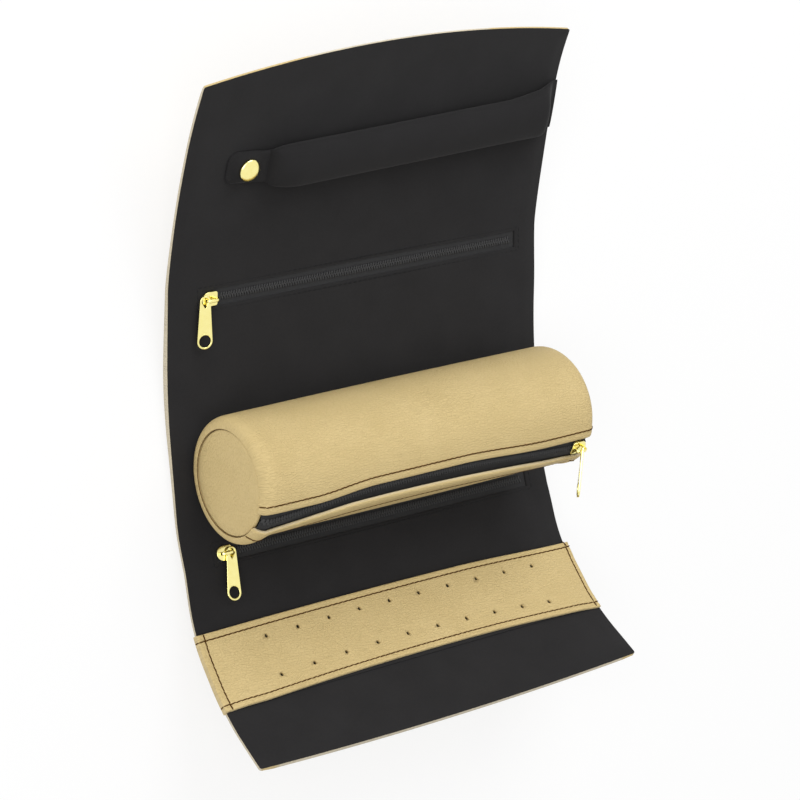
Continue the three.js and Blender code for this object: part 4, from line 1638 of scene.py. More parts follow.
@dataclass
class Pouch:
    """Round pouch on the spine: a leather tube with rolled ends, a zip along it and a disc in each end.

    Angles are in degrees from straight up, towards the bottom flap.
    """

    middle: float
    axis_place: float
    axis_height: float
    radius: float
    half_length: float
    tilt: float
    slider_from_end: float
    sizes: ZipSizes = ZipSizes()
    rim: float = 5.3 * MM
    end_lean: float = 1.0 * MM
    right_trim: float = 1.3 * MM
    mouth_draw: float = 1.3 * MM
    mouth_spread: float = 17.0
    end_fall: float = 6.5
    wall: float = 1.9 * MM
    barrel: float = 0.4 * MM
    lip_corner_length: float = 1.6 * MM
    lip_corner_size: float = 1.0 * MM
    upper_lip: float = 17.0
    upper_lip_fall: float = 5.0
    lower_lip: float = 27.0
    lower_lip_fall: float = 12.0
    seam: Seam = Seam()
    upper_seam: float = 4.0 * MM
    lower_seam: float = 7.0 * MM
    disc_seam: Seam = Seam(2.6 * MM, 2.7 * MM, 0.36 * MM, 0)
    disc_seam_gap: float = 14.0
    pout: float = 2.0 * MM
    sunk_side: float = 4.6 * MM
    sunk_from: float = 30.0
    sunk_over: float = 105.0
    sunk_fade: tuple[float, float] = (9 * MM, 4.5 * MM)
    lining_depth: float = 2.35 * MM
    lining_thickness: float = 0.5 * MM
    zip_depth: float = 2.3 * MM
    coil_end: float = 1.6 * MM
    slider_rear: float = -1.05 * MM
    pull_turn: float = 39
    pull_hang: float = 6
    pull_lean: float = 6.5

    @property
    def axis(self) -> Array:
        """Matrix of the middle of the tube."""
        return shift(self.middle, self.axis_place, self.axis_height)

    def stations(self) -> tuple[Array, Array, Array]:
        """Rings of the tube: even ones along it, then a quarter circle at each end.

        Returns:
            Places along the tube, its radius there and the slope angle of its rolled ends.
        """
        straight = steps(-self.half_length + self.rim, self.half_length - self.rim, 2 * MM)
        slope = np.radians(np.linspace(6, 88, 12))
        x = self.half_length - self.rim + self.rim * np.sin(slope)
        swell = self.barrel * (1.0 - (straight / self.half_length) ** 2)
        edge = self.radius - self.rim * (1.0 - np.cos(slope))
        places_x = np.concatenate([-x[::-1], straight, x])
        radii = np.concatenate([edge[::-1], self.radius + swell, edge])
        slopes = np.concatenate([-slope[::-1], np.zeros_like(straight), slope])
        return places_x, radii, slopes

    def roll(self, x: Array) -> Array:
        """Share of an end's quarter-round roll that lies behind a place: 0 on the tube and 1 at the disc."""
        gone = np.clip((np.abs(x) - self.half_length + self.rim) / self.rim, 0.0, 1.0)
        return 1.0 - np.sqrt(1.0 - gone ** 2)

    def radius_at(self, x: Array) -> Array:
        """Radius of the tube, which swells to its middle and rolls in as a quarter circle at its ends."""
        swell = self.barrel * (1.0 - (x / self.half_length) ** 2)
        return self.radius + swell - self.rim * self.roll(x)

    def lip_corner(self, x: Array) -> Array:
        """Angle by which the mouth's corners are rounded off at the ends."""
        near_end = np.clip((np.abs(x) - self.half_length) / self.lip_corner_length + 1.0, 0.0, 1.0)
        return np.degrees(self.lip_corner_size * (1.0 - np.sqrt(1.0 - 0.96 * near_end ** 2)) / self.radius)

    def upper_edge(self, x: Array) -> Array:
        """Angle of the upper lip, which falls towards both ends and round the left end's roll."""
        fall = self.upper_lip_fall * (ease((-x - 35 * MM) / (35 * MM)) + ease((x - 12 * MM) / (55 * MM)))
        return self.upper_lip + (fall + self.end_fall * self.roll(np.minimum(x, 0.0))) - self.lip_corner(x)

    def lower_edge(self, x: Array) -> Array:
        """Angle of the lower lip, which sags towards both ends as a parabola, most of all at the left.

        Args:
            x: Places along the tube.

        Returns:
            The angles.
        """
        sag = self.lower_lip_fall * ((x + 15 * MM) / (87 * MM)) ** 2
        left = 3.5 * ease((-x - 45 * MM) / (30 * MM)) + 4.5 * ease((-x - 66 * MM) / (22 * MM))
        right = 1.8 * ease((x - 45 * MM) / (40 * MM))
        return self.lower_lip + sag + left + right + self.lip_corner(x)

    def zip_angle(self, x: Array) -> Array:
        """Angle of the zip's line, midway between the lips."""
        return (self.upper_edge(x) + self.lower_edge(x)) / 2

    def mouth(self, degrees: Array) -> Array:
        """Share by which the right end is drawn in at the mouth: a bell round the zip's line."""
        off = (degrees - self.tilt + 180.0) % 360.0 - 180.0
        return bell(off, self.mouth_spread)

    def point(self, x: Array, radius: Array, degrees: Array) -> Array:
        """Points round the pouch's axis; the left end leans out at the top and the right end is drawn in.

        Args:
            x: Places along the tube.
            radius: Distances from its axis.
            degrees: Angles round it.

        Returns:
            Points, with a last axis of 3.
        """
        x, radius, degrees = np.broadcast_arrays(x, radius, degrees)
        angle = np.radians(degrees)
        lean = self.end_lean * self.roll(np.minimum(x, 0.0)) * np.cos(angle)
        lean = lean + self.mouth_draw * self.roll(np.maximum(x, 0.0)) * self.mouth(degrees)
        return np.stack([
            self.middle + x - lean - self.right_trim * ease(x / self.half_length),
            self.axis_place - radius * np.sin(angle),
            self.axis_height + radius * np.cos(angle),
        ], -1)

    def sunk(self, x: Array, degrees: Array) -> Array:
        """Depth of the slack side under the zip: a sine hump round the tube that fades at both ends."""
        hump = np.sin(np.pi * np.clip((degrees - self.sunk_from) / self.sunk_over, 0.0, 1.0)) ** 2
        return self.sunk_side * hump * ease((self.half_length - np.abs(x)) / np.where(x < 0, *self.sunk_fade))

    def relief(self, x: Array, arc_up: Array, arc_down: Array) -> Array:
        """How far the leather stands proud: hems at both lips, a sunk stitch line and the pouting lower lip.

        Args:
            x: Places along the pouch.
            arc_up: Distance round the tube from the upper lip.
            arc_down: Distance round the tube from the lower lip.

        Returns:
            Heights over the plain tube.
        """
        from_seams = (arc_up - self.upper_seam, arc_down - self.lower_seam)
        hem = 0.3 * MM * (1.0 - ease(np.minimum(*from_seams) / (1.5 * MM)))
        sunk = sum(bell(gone, GROOVE_WIDTH) for gone in from_seams)
        share = np.clip(1.0 - (x / (80 * MM)) ** 2, 0.0, 1.0)
        lip = self.pout * share * (1.0 - ease((arc_down - 1.5 * MM) / (5.5 * MM)))
        return hem - 0.35 * MM * sunk + lip

    def tube_shell(self) -> Shell:
        """Leather tube: an open ring carried along X, narrowing at both ends to the seam of the disc.

        Returns:
            The tube.
        """
        x, radius, slope = [row[:, None] for row in self.stations()]
        lower, upper = self.lower_edge(x), self.upper_edge(x) + 360
        fine = [0.002, 0.005, 0.009, 0.015, 0.022, 0.0285, 0.0315, 0.036, 0.045]
        share = places(0.0, 1.0, 0.012, [], fine)
        degrees = lower + (upper - lower) * share
        x = np.repeat(x, len(share), 1)
        down, up = np.radians(degrees - lower) * radius, np.radians(upper - degrees) * radius
        lift = self.relief(x, up, down) - self.sunk(x, degrees)
        edge = np.minimum(up, down)
        tuck = 0.8 * MM * (1.0 - rounded(edge, 0.9 * MM))
        heights = (lift - tuck, lift + tuck * 0.6 - self.wall)
        outer, inner = [self.point(x + height * np.sin(slope), radius + height * np.cos(slope), degrees)
                        for height in heights]
        flat = np.stack([x, np.radians(degrees) * self.radius], -1)
        return slab(outer, inner, flat, edge=0.5 * (edge < 0.1 * MM))

    def strip_shell(self, from_zip: float, to_zip: float, deep: float, thickness: float) -> Shell:
        """Sheet inside the tube, along its whole length.

        Args:
            from_zip: Where it starts, round the tube from the zip's line.
            to_zip: Where it ends.
            deep: Depth of its outer face under the tube's.
            thickness: Thickness of the sheet.

        Returns:
            The sheet.
        """
        x, radius, _ = self.stations()
        inside = np.abs(x) < self.half_length - 0.9 * MM
        x, radius = x[inside], radius[inside]
        gone = steps(from_zip, to_zip, 1.2 * MM)
        angle = self.zip_angle(x)[:, None] + np.degrees(gone / (self.radius - deep))
        grid_x = np.repeat(x[:, None], len(gone), 1)
        depth = (radius - deep)[:, None] - self.sunk(grid_x, angle)
        flat = np.stack([grid_x, np.repeat(gone[None], len(x), 0)], -1)
        return slab(self.point(grid_x, depth, angle), self.point(grid_x, depth - thickness, angle), flat)

    def shell_pieces(self) -> None:
        """Makes the tube and its lining."""
        outside = make_piece("pouch_leather", self.tube_shell(), LEATHER, SOFT_SHARP)
        fit(outside, "spine", "pouch_tube")
        gap = self.sizes.centre_gap + self.sizes.tape_width + 0.6 * MM
        girth = 2 * np.pi * (self.radius - self.lining_depth)
        sheet = self.strip_shell(gap, girth - gap, self.lining_depth, self.lining_thickness)
        inside = make_piece("pouch_cloth", sheet, LINING)
        fit(inside, "spine", "pouch_lining")

    def discs(self) -> None:
        """Makes the two end discs, each shaped like its end of the tube."""
        seam = self.radius - self.rim - 0.15 * MM
        face = self.half_length - 0.35 * MM
        back = face - 2.4 * MM
        rim = [(0, back), (seam - 0.6 * MM, back), (seam, face - 1.6 * MM), (seam, face - 0.9 * MM),
               (seam - 0.25 * MM, face - 0.3 * MM), (seam - 0.8 * MM, face)]
        dome = [(0.8 * seam, face + 0.12 * MM), (0.5 * seam, face + 0.2 * MM), (0, face + 0.22 * MM)]
        disc = turned(rim + dome, 96)
        for end in End:
            placed = disc.moved(self.axis @ spin("Y", 90 * end.value))
            y, z = placed.points[:, 1] - self.axis_place, placed.points[:, 2] - self.axis_height
            if end is End.LEFT:
                placed.points[:, 0] -= self.end_lean * z / seam
            else:
                share = np.hypot(y, z) / seam
                drawn = self.mouth_draw * share ** 4 * self.mouth(np.degrees(np.arctan2(-y, z)))
                placed.points[:, 0] -= self.right_trim + drawn
            placed.flat = placed.points[:, 1:].copy()
            word = end.name.lower()
            fit(make_piece(f"pouch_disc_{word}", placed, LEATHER), "spine", f"pouch_end_{word}")

    def tape(self, half: Half) -> Shell:
        """One tape of the zip."""
        ends = [-half.value * (self.sizes.centre_gap + width) for width in (0.0, self.sizes.tape_width)]
        return self.strip_shell(*sorted(ends), self.zip_depth, self.sizes.tape_thickness)

    def carry(self, along: Array, across: Array, height: Array) -> Array:
        """Points on the tube from places in the zip and heights over its tape."""
        base = self.radius_at(along) - self.zip_depth
        return self.point(along, base + height, self.zip_angle(along) - np.degrees(across / base))

    def slider_and_pull(self) -> None:
        """Makes the slider, and its pull, which hangs from the bridge's bar."""
        sizes = self.sizes
        seat = self.axis @ spin("X", self.tilt) @ shift(0, 0, self.radius - self.zip_depth)
        seat = seat @ shift(self.half_length - self.slider_from_end, 0, 0)
        hang = shift(0, 0, sizes.bridge_height + sizes.bridge_bar / 2) @ spin("X", self.pull_hang - self.tilt)
        hang = hang @ spin("Z", -self.pull_lean) @ spin("Y", 90 - self.pull_turn)
        sizes.make_runner("pouch", self.slider_rear, seat @ spin("Z", 180), seat @ hang)

    def lip_line(self, half: Half) -> Line:
        """Stitch line along one lip and over the rolled ends.

        Args:
            half: Half of the zip that the lip is on.

        Returns:
            The line, by the distance along it.
        """
        upper = half is Half.UPPER
        inset = self.upper_seam if upper else self.lower_seam
        straight = self.half_length - self.rim

        def line(gone: Array) -> tuple[Array, Array]:
            """Goes straight along the lip, then round a quarter circle.

            Args:
                gone: Distances along the lip.

            Returns:
                Points and outward directions.
            """
            slope = np.sign(gone) * np.clip((np.abs(gone) - straight) / self.rim, 0.0, np.pi / 2)
            x = np.clip(gone, -straight, straight) + self.rim * np.sin(slope)
            radius = self.radius_at(x)
            edge = self.upper_edge(x) if upper else self.lower_edge(x)
            degrees = edge - half.value * np.degrees(inset / radius)
            arcs = (inset, 1.0) if upper else (1.0, inset)
            lift = self.relief(x, *arcs) - self.sunk(x, degrees) + 0.12 * MM
            angle = np.radians(degrees)
            level, end = np.cos(slope), np.sin(slope)
            out = np.stack([end, -np.sin(angle) * level, np.cos(angle) * level], -1)
            return self.point(x + lift * end, radius + lift * level, degrees), out

        return line

    def disc_row(self, end: End) -> Shell:
        """Stitches round one end disc, apart from the mouth.

        Args:
            end: End of the pouch.

        Returns:
            The stitches as one shell.
        """
        radius = self.radius - self.rim - 0.05 * MM
        x = end.value * (self.half_length - 0.42 * MM)
        out = np.array([float(end.value), 0.0, 0.0])

        def line(gone: Array) -> tuple[Array, Array]:
            """Points on the disc's seam and the direction out of the end."""
            return self.point(x, radius, np.degrees(gone / radius)), np.tile(out, (len(gone), 1))

        low = math.radians(self.tilt + self.disc_seam_gap) * radius
        return self.disc_seam.along(line, low, low + math.radians(360 - 2 * self.disc_seam_gap) * radius)

    def sewing(self) -> None:
        """Makes the stitches along both lips and round both end discs."""
        reach = self.half_length + (np.pi / 2 - 1.0) * self.rim - 0.4 * MM
        lips = [self.seam.along(self.lip_line(half), -reach, reach) for half in Half]
        rings = [self.disc_row(end) for end in End]
        for name, shells, finish in (("lip", lips, BROWN_THREAD), ("disc", rings, TAN_THREAD)):
            fit(make_piece(f"pouch_{name}_stitches", joined(shells), finish), "spine")

    def build(self) -> None:
        """Makes the whole pouch."""
        self.shell_pieces()
        self.discs()
        self.sizes.make_chain("pouch", "spine", self.half_length - self.coil_end, self.tape, self.carry)
        self.slider_and_pull()
        self.sewing()


def pouch_from_frame() -> Pouch:
    """The pouch, with its main sizes from the frame.

    Returns:
        The pouch, not built yet.
    """
    low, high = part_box("pouch_tube")
    middle, place, height = (low + high) / 2
    joint = next(j for j in frame["joints"] if j["name"] == "pouch_pull_swing")
    x, y, z = joint["pos_m"]
    tilt = math.degrees(math.atan2(place - y, z - height))
    half = (high.x - low.x) / 2
    return Pouch(middle, place, height, (high.y - low.y) / 2, half, tilt, slider_from_end=middle + half - x)


# The earring strip


@dataclass
class EarringStrip:
    """Leather band across the panel with two rows of holes, sewn along its edges and ends."""

    form: PanelForm
    low: float
    high: float
    half_length: float = 106 * MM
    right_cut: float = 1.2 * MM
    overhang: float = 1.5 * MM
    overhang_bottom: float = -1.9 * MM
    bow: float = 2.3 * MM
    upper_bow: float = 1.0 * MM
    bow_half: float = 95 * MM
    bow_place: float = 12 * MM
    bottom: float = 0.9 * MM
    thickness: float = 1.35 * MM
    edge_radius: float = 0.85 * MM
    backing_half_length: float = 95 * MM
    backing_inset: float = 0.6 * MM
    backing_heights: tuple[float, float] = (0.75 * MM, 0.35 * MM)
    seam: Seam = Seam()
    upper_stitch: float = 2.9 * MM
    upper_stitch_drift: float = -0.4 * MM
    lower_stitch: float = 2.8 * MM
    left_stitch: float = 3.4 * MM
    right_stitch: float = 2.4 * MM
    stitch_inset: float = 0.3 * MM
    hole_count: int = 10
    hole_pitch: float = 16.9 * MM
    hole_shift: float = 5.2 * MM
    hole_radius: float = 0.95 * MM
    pin_ends: tuple[float, float] = (-3 * MM, 4 * MM)
    row_spacing: float = 19.4 * MM
    row_shift: float = 1.6 * MM
    row_bows: tuple[float, float] = (3.2 * MM, 1.4 * MM)
    row_drops: tuple[float, float] = (1.3 * MM, 1.4 * MM)
    row_leans: tuple[float, float] = (1.9 * MM, 0.0)
    column_drift: float = 1.5 * MM
    right_drop: float = 1.2 * MM

    def right_fall(self, x: Array) -> Array:
        """How far the band drops towards its right end."""
        return self.right_drop * ease((x - 40 * MM) / (60 * MM))

    def low_edge(self, x: Array) -> Array:
        """Lower edge of the band, which bows up a little in the middle and drops at the right."""
        bow = self.bow * (1.0 - np.clip((x - self.bow_place) / self.bow_half, -1.0, 1.0) ** 2)
        return self.low + bow - 0.6 * self.right_fall(x)

    def high_edge(self, x: Array) -> Array:
        """Upper edge of the band, which bows up a little in the middle too and drops at the right."""
        bow = self.upper_bow * (1.0 - np.clip(x / self.bow_half, -1.0, 1.0) ** 2)
        return self.high + bow - self.right_fall(x)

    def right_end(self, y: Array) -> Array:
        """Right end of the band, which leans out over the panel's edge towards its upper corner."""
        lean = self.overhang * ease((y - self.low) / (self.high - self.low))
        return self.half_length - self.right_cut + lean

    def upper_seam(self, x: Array) -> Array:
        """Distance of the upper stitch line from the band's upper edge, which shrinks to the right."""
        return self.upper_stitch + self.upper_stitch_drift * x / self.half_length

    def end_drop(self, x: Array, y: Array) -> Array:
        """How far the band comes down on the panel towards its sewn ends."""
        ends = np.minimum(x + self.half_length, self.right_end(y) - x)
        return 1.0 * MM * (1.0 - ease((ends - 1.5 * MM) / (12 * MM)))

    def height(self, x: Array, y: Array) -> Array:
        """Height of the band's face: quarter-round edges, bell-shaped grooves at the seams and a crown.

        Args:
            x: Places along the roll.
            y: Places up the flat panel.

        Returns:
            Heights over the lining.
        """
        lower, upper = y - self.low_edge(x), self.high_edge(x) - y
        left, right = x + self.half_length, self.right_end(y) - x
        across, ends = np.minimum(lower, upper), np.minimum(left, right)
        from_seams = (lower - self.lower_stitch, upper - self.upper_seam(x),
                      left - self.left_stitch, right - self.right_stitch)
        sunk = sum(bell(gone, GROOVE_WIDTH) for gone in from_seams)
        crown = 0.35 * MM * ease((across - 4 * MM) / (7 * MM)) * ease((ends - 6 * MM) / (12 * MM))
        hem = 0.18 * MM * (1.0 - ease((across - 6 * MM) / (3 * MM)))
        round_off = 0.75 * MM * (1.0 - rounded(np.minimum(across, ends), self.edge_radius))
        face = self.bottom + self.thickness + crown + hem - 0.3 * MM * sunk
        return face - self.end_drop(x, y) - round_off

    def holes(self) -> Array:
        """Flat places of the holes, column by column; both rows bow up as parabolas.

        Returns:
            Places along the roll and up the flat panel, with a last axis of 2.
        """
        half = self.hole_pitch * (self.hole_count - 1) / 2
        x = self.hole_shift + np.linspace(-half, half, self.hole_count)
        out = (x / half) ** 2
        middle = (self.low + self.high) / 2 + self.row_shift
        rows = [np.stack([x - self.column_drift * out + lean * (1.0 - 1.3 * out),
                          middle + side * self.row_spacing / 2 + bow * (1.0 - out) - drop], -1)
                for side, bow, drop, lean in zip((-1, 1), self.row_bows, self.row_drops, self.row_leans)]
        return np.stack(rows, 1).reshape(-1, 2)

    def pierce(self, *pieces: Piece) -> None:
        """Cuts the holes through pieces for good, with a pin at each hole.

        Args:
            pieces: Pieces to cut.
        """
        (low, high), radius = self.pin_ends, self.hole_radius
        pin = turned([(0, low), (radius, low), (radius, high), (0, high)], 20)
        x, y = self.holes().T
        along = np.tile([1.0, 0, 0], (len(x), 1))
        frames = frames_on(self.form.place(x, y, MM), along, self.form.outward(x, y))
        pins = make_piece("hole_pins", repeated(pin, frames), LEATHER)
        for piece in pieces:
            modifier = piece.modifiers.new("holes", "BOOLEAN")
            modifier.object = pins
            modifier.solver = "EXACT"
            graph = bpy.context.evaluated_depsgraph_get()
            cut = bpy.data.meshes.new_from_object(piece.evaluated_get(graph))
            piece.modifiers.clear()
            piece.data = cut
            cut.name = piece.name
        bpy.data.objects.remove(pins)

    def band(self) -> Piece:
        """Makes the leather band.

        Returns:
            The band, without its holes.
        """
        length, width = 2 * self.half_length, self.high - self.low
        fine = MM * np.array([0.1, 0.25, 0.5, 0.85, 1.5, 2.4, 3.2, 3.9, 4.6, 5.4])
        along = places(0.0, length, 2.6 * MM, [], fine) / length
        up = places(0.0, width, 1.6 * MM, [], fine) / width
        along, up = np.meshgrid(along, up, indexing="xy")
        x = -self.half_length + along * (self.right_end(self.low + up * width) + self.half_length)
        y = self.low_edge(x) + up * (self.high_edge(x) - self.low_edge(x))
        outside = np.abs(x) > self.form.half_width + 0.08 * MM
        bottom = np.where(outside, self.overhang_bottom, self.bottom - self.end_drop(x, y))
        edge = np.minimum(np.minimum(along, 1 - along) * length, np.minimum(up, 1 - up) * width)
        shell = self.form.layer(x, y, self.height(x, y), bottom, edge=0.2 * (edge < 0.05 * MM))
        return make_piece("earring_band", shell, LEATHER, SOFT_SHARP)

    def backing(self) -> Piece:
        """Makes the cloth behind the band.

        Returns:
            The cloth, without its holes.
        """
        half, inset = self.backing_half_length, self.backing_inset
        up = steps(self.low + inset, self.high - inset, 2 * MM)
        x, y = np.meshgrid(steps(-half, half, 4 * MM), up, indexing="xy")
        return make_piece("earring_band_cloth", self.form.layer(x, y, *self.backing_heights), LINING)

    def sewing(self) -> Piece:
        """Makes the stitches along both long edges and both ends.

        Returns:
            The stitches as one piece.
        """
        def on_face(x: Array, y: Array) -> tuple[Array, Array]:
            """Points on the band's face and the directions out of it."""
            return self.form.place(x, y, self.height(x, y) + 0.1 * MM), self.form.outward(x, y)

        lines: list[Line] = [
            lambda x: on_face(x, self.low_edge(x) + self.lower_stitch),
            lambda x: on_face(x, self.high_edge(x) - self.upper_seam(x)),
            lambda y: on_face(np.full_like(y, -self.half_length + self.left_stitch), y),
            lambda y: on_face(self.right_end(y) - self.right_stitch, y),
        ]
        far = self.half_length - self.stitch_inset
        up = (self.low + self.stitch_inset, self.high - self.stitch_inset)
        spans = [(-far, far - self.right_cut), (-far, far - self.right_cut + self.overhang), up, up]
        rows = [self.seam.along(line, *span) for line, span in zip(lines, spans)]
        return make_piece("earring_band_stitches", joined([*rows, self.end_stitches()]), BROWN_THREAD)

    def end_stitches(self) -> Shell:
        """The last stitch of both rows, which goes down over the band's left end.

        Returns:
            The two stitches as one shell.
        """
        x = np.full(2, -self.half_length)
        y = np.array([self.low_edge(x[0]) + self.lower_stitch, self.high - self.upper_seam(x[0])])
        left = np.tile([-1.0, 0.0, 0.0], (2, 1))
        frames = frames_on(self.form.place(x, y, -0.45 * MM), self.form.outward(x, y), left)
        return repeated(stitch(0.75 * self.seam.length, self.seam.width), frames)

    def build(self) -> None:
        """Makes the whole strip."""
        band, backing, sewing = self.band(), self.backing(), self.sewing()
        self.pierce(band, backing)
        fit(band, "earring", "earring_strip")
        fit(backing, "earring", "earring_strip_backing")
        fit(sewing, "earring")


# The ring bar


@dataclass
class RingBar:
    """Stuffed bar for rings, sewn to the panel's right edge, with a snap tab at its left end."""

    form: PanelForm
    middle: float
    left: float = -62 * MM
    right: float = 104 * MM
    half_width: float = 10.2 * MM
    half_height: float = 6.2 * MM
    left_half_width: float = 7.4 * MM
    right_half_width: float = 12 * MM
    right_rise: float = 1.6 * MM
    right_hem: float = 1.5 * MM
    end_half_height: float = 0.75 * MM
    clearance: float = 0.35 * MM
    left_taper: float = 15 * MM
    right_taper: float = 12 * MM
    right_flare: float = 32 * MM
    skew: float = 4.5 * MM
    pucker: float = 0.035
    softness: float = 0.018
    squareness: float = 0.85
    tab_length: float = 20 * MM
    tab_overlap: float = 2 * MM
    tab_half_width: float = 7.5 * MM
    tab_corner: float = 5 * MM
    tab_bottom: float = 2.5 * MM
    tab_thickness: float = 1.2 * MM
    tab_droop: float = 2.5 * MM

    def cushion(self) -> Piece:
        """Makes the bar: oval sections that swell from flat sewn ends, with soft puckers as crossed sines.

        Returns:
            The bar.
        """
        share = np.linspace(0, 1, 120)[:, None]
        angle = circle(56)
        x = self.left + (self.right - self.left) * share
        from_right = self.right - self.right_hem - x
        swell_left = rounded(x - self.left, self.left_taper)
        flare = 1.0 - ease(from_right / self.right_flare)
        full = np.minimum(swell_left, ease(from_right / self.right_taper))
        tall = self.end_half_height + (self.half_height - self.end_half_height) * full
        wide = (self.half_width + (self.left_half_width - self.half_width) * (1 - swell_left)
                + (self.right_half_width - self.half_width) * flare)
        tab_rise = self.tab_bottom + self.tab_thickness / 2 - self.end_half_height - self.clearance
        lift = self.clearance + tall + tab_rise * (1 - swell_left)
        centre = self.middle + self.skew * (share - 0.5) + self.right_rise * flare
        pucker = 1.0 + self.pucker * np.sin(x / (2.6 * MM)) * (1 - full) * np.sin(3 * angle)
        soft = 1.0 + self.softness * np.sin(x / (13 * MM) + 2 * angle)
        oval = np.sign(np.sin(angle)) * np.abs(np.sin(angle)) ** self.squareness
        y = centre + wide * np.cos(angle) * pucker
        height = np.maximum(lift + tall * oval * soft, 0.3 * MM)
        flat = np.stack([np.repeat(x, len(angle), 1), angle * wide], -1)
        return make_piece("ring_bar_stuffed", tube(self.form.place(x, y, height), flat), SHADED_BAR_CLOTH, 70)

    def tab(self) -> Piece:
        """Makes the tab: a flat strap with a rounded end that droops beyond the snap.

        Returns:
            The tab.
        """
        corner, thick = self.tab_corner, self.tab_thickness
        x = places(self.left - self.tab_length, self.left + self.tab_overlap, 1.2 * MM, [],
                   MM * np.array([0.2, 0.5]))[:, None]
        gone = np.clip(corner - (x - x[0]), 0.0, corner)
        half = self.tab_half_width - corner + np.sqrt(corner ** 2 - gone ** 2)
        y = half * places(-1.0, 1.0, 0.12, [], [0.02, 0.06])
        x = np.broadcast_to(x, y.shape)
        inside = np.minimum(half - np.abs(y), x - x[0, 0])
        puff = thick * (0.35 + 0.65 * rounded(inside, 1.8 * MM))
        off = x - self.form.snap[0]
        droop = self.tab_droop * ease((np.hypot(off, y) - 4.8 * MM) / (4 * MM)) * (1.0 - ease(off / (9 * MM)))
        level = self.tab_bottom - droop
        top, bottom = [self.form.place(x, self.middle - self.skew / 2 + y, height)
                       for height in (level + puff, level + thick * 0.3 - 0.3 * puff)]
        return make_piece("ring_bar_strap", slab(top, bottom, np.stack([x, y], -1)), SHADED_BAR_CLOTH, SOFT_SHARP)

    def snap(self) -> None:
        """Makes the snap's cap, socket and stud at the frame's own places."""
        low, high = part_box("snap_cap")
        seat = self.form.plane(self.form.snap[1]) @ shift(self.form.snap[0], 0, 0.3 * MM)
        radius = (high.x - low.x) / 2 / MM
        dome = [(radius * math.cos(a), 4.45 + 1.4 * math.sin(a)) for a in np.radians(np.linspace(0, 84, 12))]
        cap = [(0, 1.9), (1.4, 1.9), (1.4, 3.65), (radius - 0.3, 3.65), (radius, 3.9), *dome, (0, 5.85)]
        socket = [(0, 1.75), (2.5, 1.75), (2.5, 0.75), (4.0, 0.75), (4.2, 0.95), (4.2, 1.8), (4.0, 1.95),
                  (0, 1.95)]
        stud = [(0, 0), (4.4, 0), (4.5, 0.3), (4.2, 0.5), (1.75, 0.55), (2.2, 1.05), (1.75, 1.6), (0, 1.65)]
        for name, body, line, sides in (("cap", "ring_bar", cap, 64), ("socket", "ring_bar", socket, 48),
                                        ("stud", "ring", stud, 48)):
            shell = turned(MM * np.array(line), sides).moved(seat)
            fit(make_piece(f"gold_snap_{name}", shell, GOLD, METAL_SHARP), body, f"snap_{name}")

    def build(self) -> None:
        """Makes the whole bar."""
        cushion = self.cushion()
        fit(cushion, "ring_bar", "ring_bar_cushion")
        fit(self.tab(), "ring_bar", "ring_bar_tab")
        self.snap()


# The studio


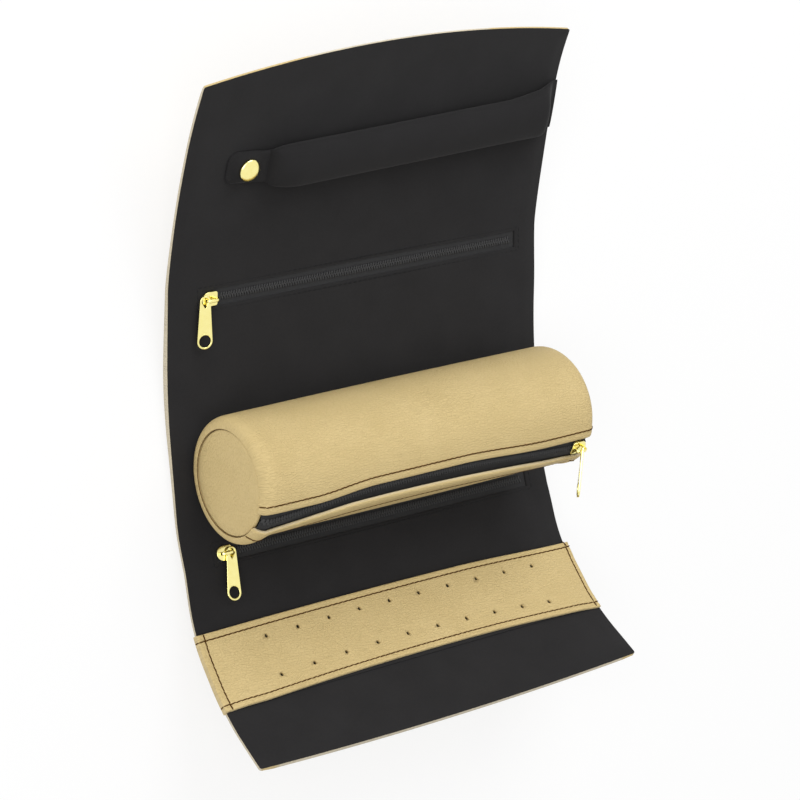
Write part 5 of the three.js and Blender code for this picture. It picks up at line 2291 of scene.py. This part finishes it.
@dataclass(frozen=True)
class Studio:
    """Plain pale floor, soft light and the camera."""

    camera_place: tuple[float, float, float] = (-0.9709, 0.327, 1.2537)
    camera_right: tuple[float, float, float] = (0.7724, -0.0667, 0.6316)
    camera_up: tuple[float, float, float] = (0.1750, 0.9783, -0.1107)
    lens: float = 160.46
    sensor: float = 36.0
    floor_size: float = 12.0
    floor_level: float = -0.0006
    floor_white: float = 0.8
    sky: float = 0.47

    def camera(self) -> None:
        """Sets the camera at the photograph's angle."""
        data = bpy.data.cameras.new("camera")
        data.lens = self.lens
        data.sensor_width = self.sensor
        data.clip_start = 0.05
        data.clip_end = 50.0
        holder = bpy.data.objects.new("camera", data)
        right = Vector(self.camera_right).normalized()
        back = right.cross(Vector(self.camera_up)).normalized()
        turn = Matrix((right, back.cross(right), back)).transposed().to_4x4()
        holder.matrix_world = Matrix.Translation(self.camera_place) @ turn
        bpy.context.scene.collection.objects.link(holder)
        bpy.context.scene.camera = holder

    def lamp(self, name: str, place: tuple[float, float, float], size: float, power: float) -> None:
        """Adds a square soft light that faces the roll.

        Args:
            name: Name of the light.
            place: Where it stands.
            size: Length of its sides.
            power: Its power in watts.
        """
        data = bpy.data.lights.new(name, "AREA")
        data.shape = "SQUARE"
        data.size = size
        data.energy = power
        holder = bpy.data.objects.new(name, data)
        holder.location = place
        holder.rotation_euler = (-Vector(place)).to_track_quat("-Z", "Y").to_euler()
        bpy.context.scene.collection.objects.link(holder)

    def white_to_camera(self, graph: Graph, lit: Socket, share: float) -> Socket:
        """A shader that camera, glossy and transmission rays see as white.

        Args:
            graph: Graph to add it to.
            lit: Shader that other rays see.
            share: How far it goes to white.

        Returns:
            The mixed shader.
        """
        rays = graph.add("ShaderNodeLightPath")
        seen = graph.math("MAXIMUM", rays.outputs["Is Camera Ray"], rays.outputs["Is Glossy Ray"])
        seen = graph.math("MAXIMUM", seen, rays.outputs["Is Transmission Ray"])
        white = graph.add("ShaderNodeEmission", {"Color": (1.0, 1.0, 1.0, 1.0), "Strength": 1.0}).outputs[0]
        inputs = {0: graph.math("MULTIPLY", seen, share), 1: lit, 2: white}
        return graph.add("ShaderNodeMixShader", inputs).outputs[0]

    def floor(self) -> None:
        """Adds the floor, which keeps a faint shadow."""
        half = self.floor_size / 2
        mesh = bpy.data.meshes.new("floor")
        corners = ((-half, -half), (half, -half), (half, half), (-half, half))
        mesh.from_pydata([(x, y, self.floor_level) for x, y in corners], [], [(0, 1, 2, 3)])
        made = bpy.data.materials.new("pale floor")
        made.use_nodes = True
        graph = Graph(made.node_tree)
        shader = made.node_tree.nodes["Principled BSDF"]
        pale = (0.92, 0.92, 0.92, 1.0)
        graph.feed(shader, {"Base Color": pale, "Roughness": 1.0, "Specular IOR Level": 0.0})
        white = self.white_to_camera(graph, shader.outputs[0], self.floor_white)
        graph.feed(made.node_tree.nodes["Material Output"], {0: white})
        mesh.materials.append(made)
        holder = bpy.data.objects.new("floor", mesh)
        bpy.context.scene.collection.objects.link(holder)

    def world(self) -> None:
        """Lights the scene evenly, with a white backdrop."""
        world = bpy.data.worlds.new("studio")
        world.use_nodes = True
        graph = Graph(world.node_tree)
        sky = world.node_tree.nodes["Background"]
        graph.feed(sky, {"Color": (1.0, 1.0, 1.0, 1.0), "Strength": self.sky})
        white = self.white_to_camera(graph, sky.outputs[0], 1.0)
        graph.feed(world.node_tree.nodes["World Output"], {0: white})
        bpy.context.scene.world = world

    def build(self) -> None:
        """Makes the floor, the lights and the camera."""
        self.floor()
        self.world()
        self.lamp("key light", (-2.2, 0.41, 2.55), size=2.5, power=60.5)
        self.lamp("fill light", (0.45, 1.62, 1.3), size=1.5, power=23.5)
        self.camera()
        bpy.context.scene.view_settings.view_transform = "Standard"


def main() -> None:
    """Builds the roll and the studio."""
    logging.basicConfig(level=logging.INFO, format="%(message)s")
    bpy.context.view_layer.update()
    Studio().build()
    layout = Layout()
    form = layout.form()
    lower, earring, bottom = [fold.at for fold in form.lower.folds]
    _, middle, ring, _ = [fold.at for fold in form.upper.folds]
    slots = (-lower - layout.zip_past_lower_fold, middle - layout.zip_before_middle_fold)
    panel = Panel(form, slots)
    panel.sheets()
    panel.filling()
    FlatZip("lower", panel, slots[0], End.RIGHT, pull_turn=10, pull_tip=2).build()
    FlatZip("upper", panel, slots[1], End.LEFT, pull_roll=12, pull_shift=-MM, pull_rise=1.3 * MM).build()
    pouch_from_frame().build()
    EarringStrip(form, -bottom + layout.strip_clearance, -earring - layout.strip_clearance).build()
    RingBar(form, ring + layout.bar_past_ring_fold).build()


if __name__ == "__main__":
    main()
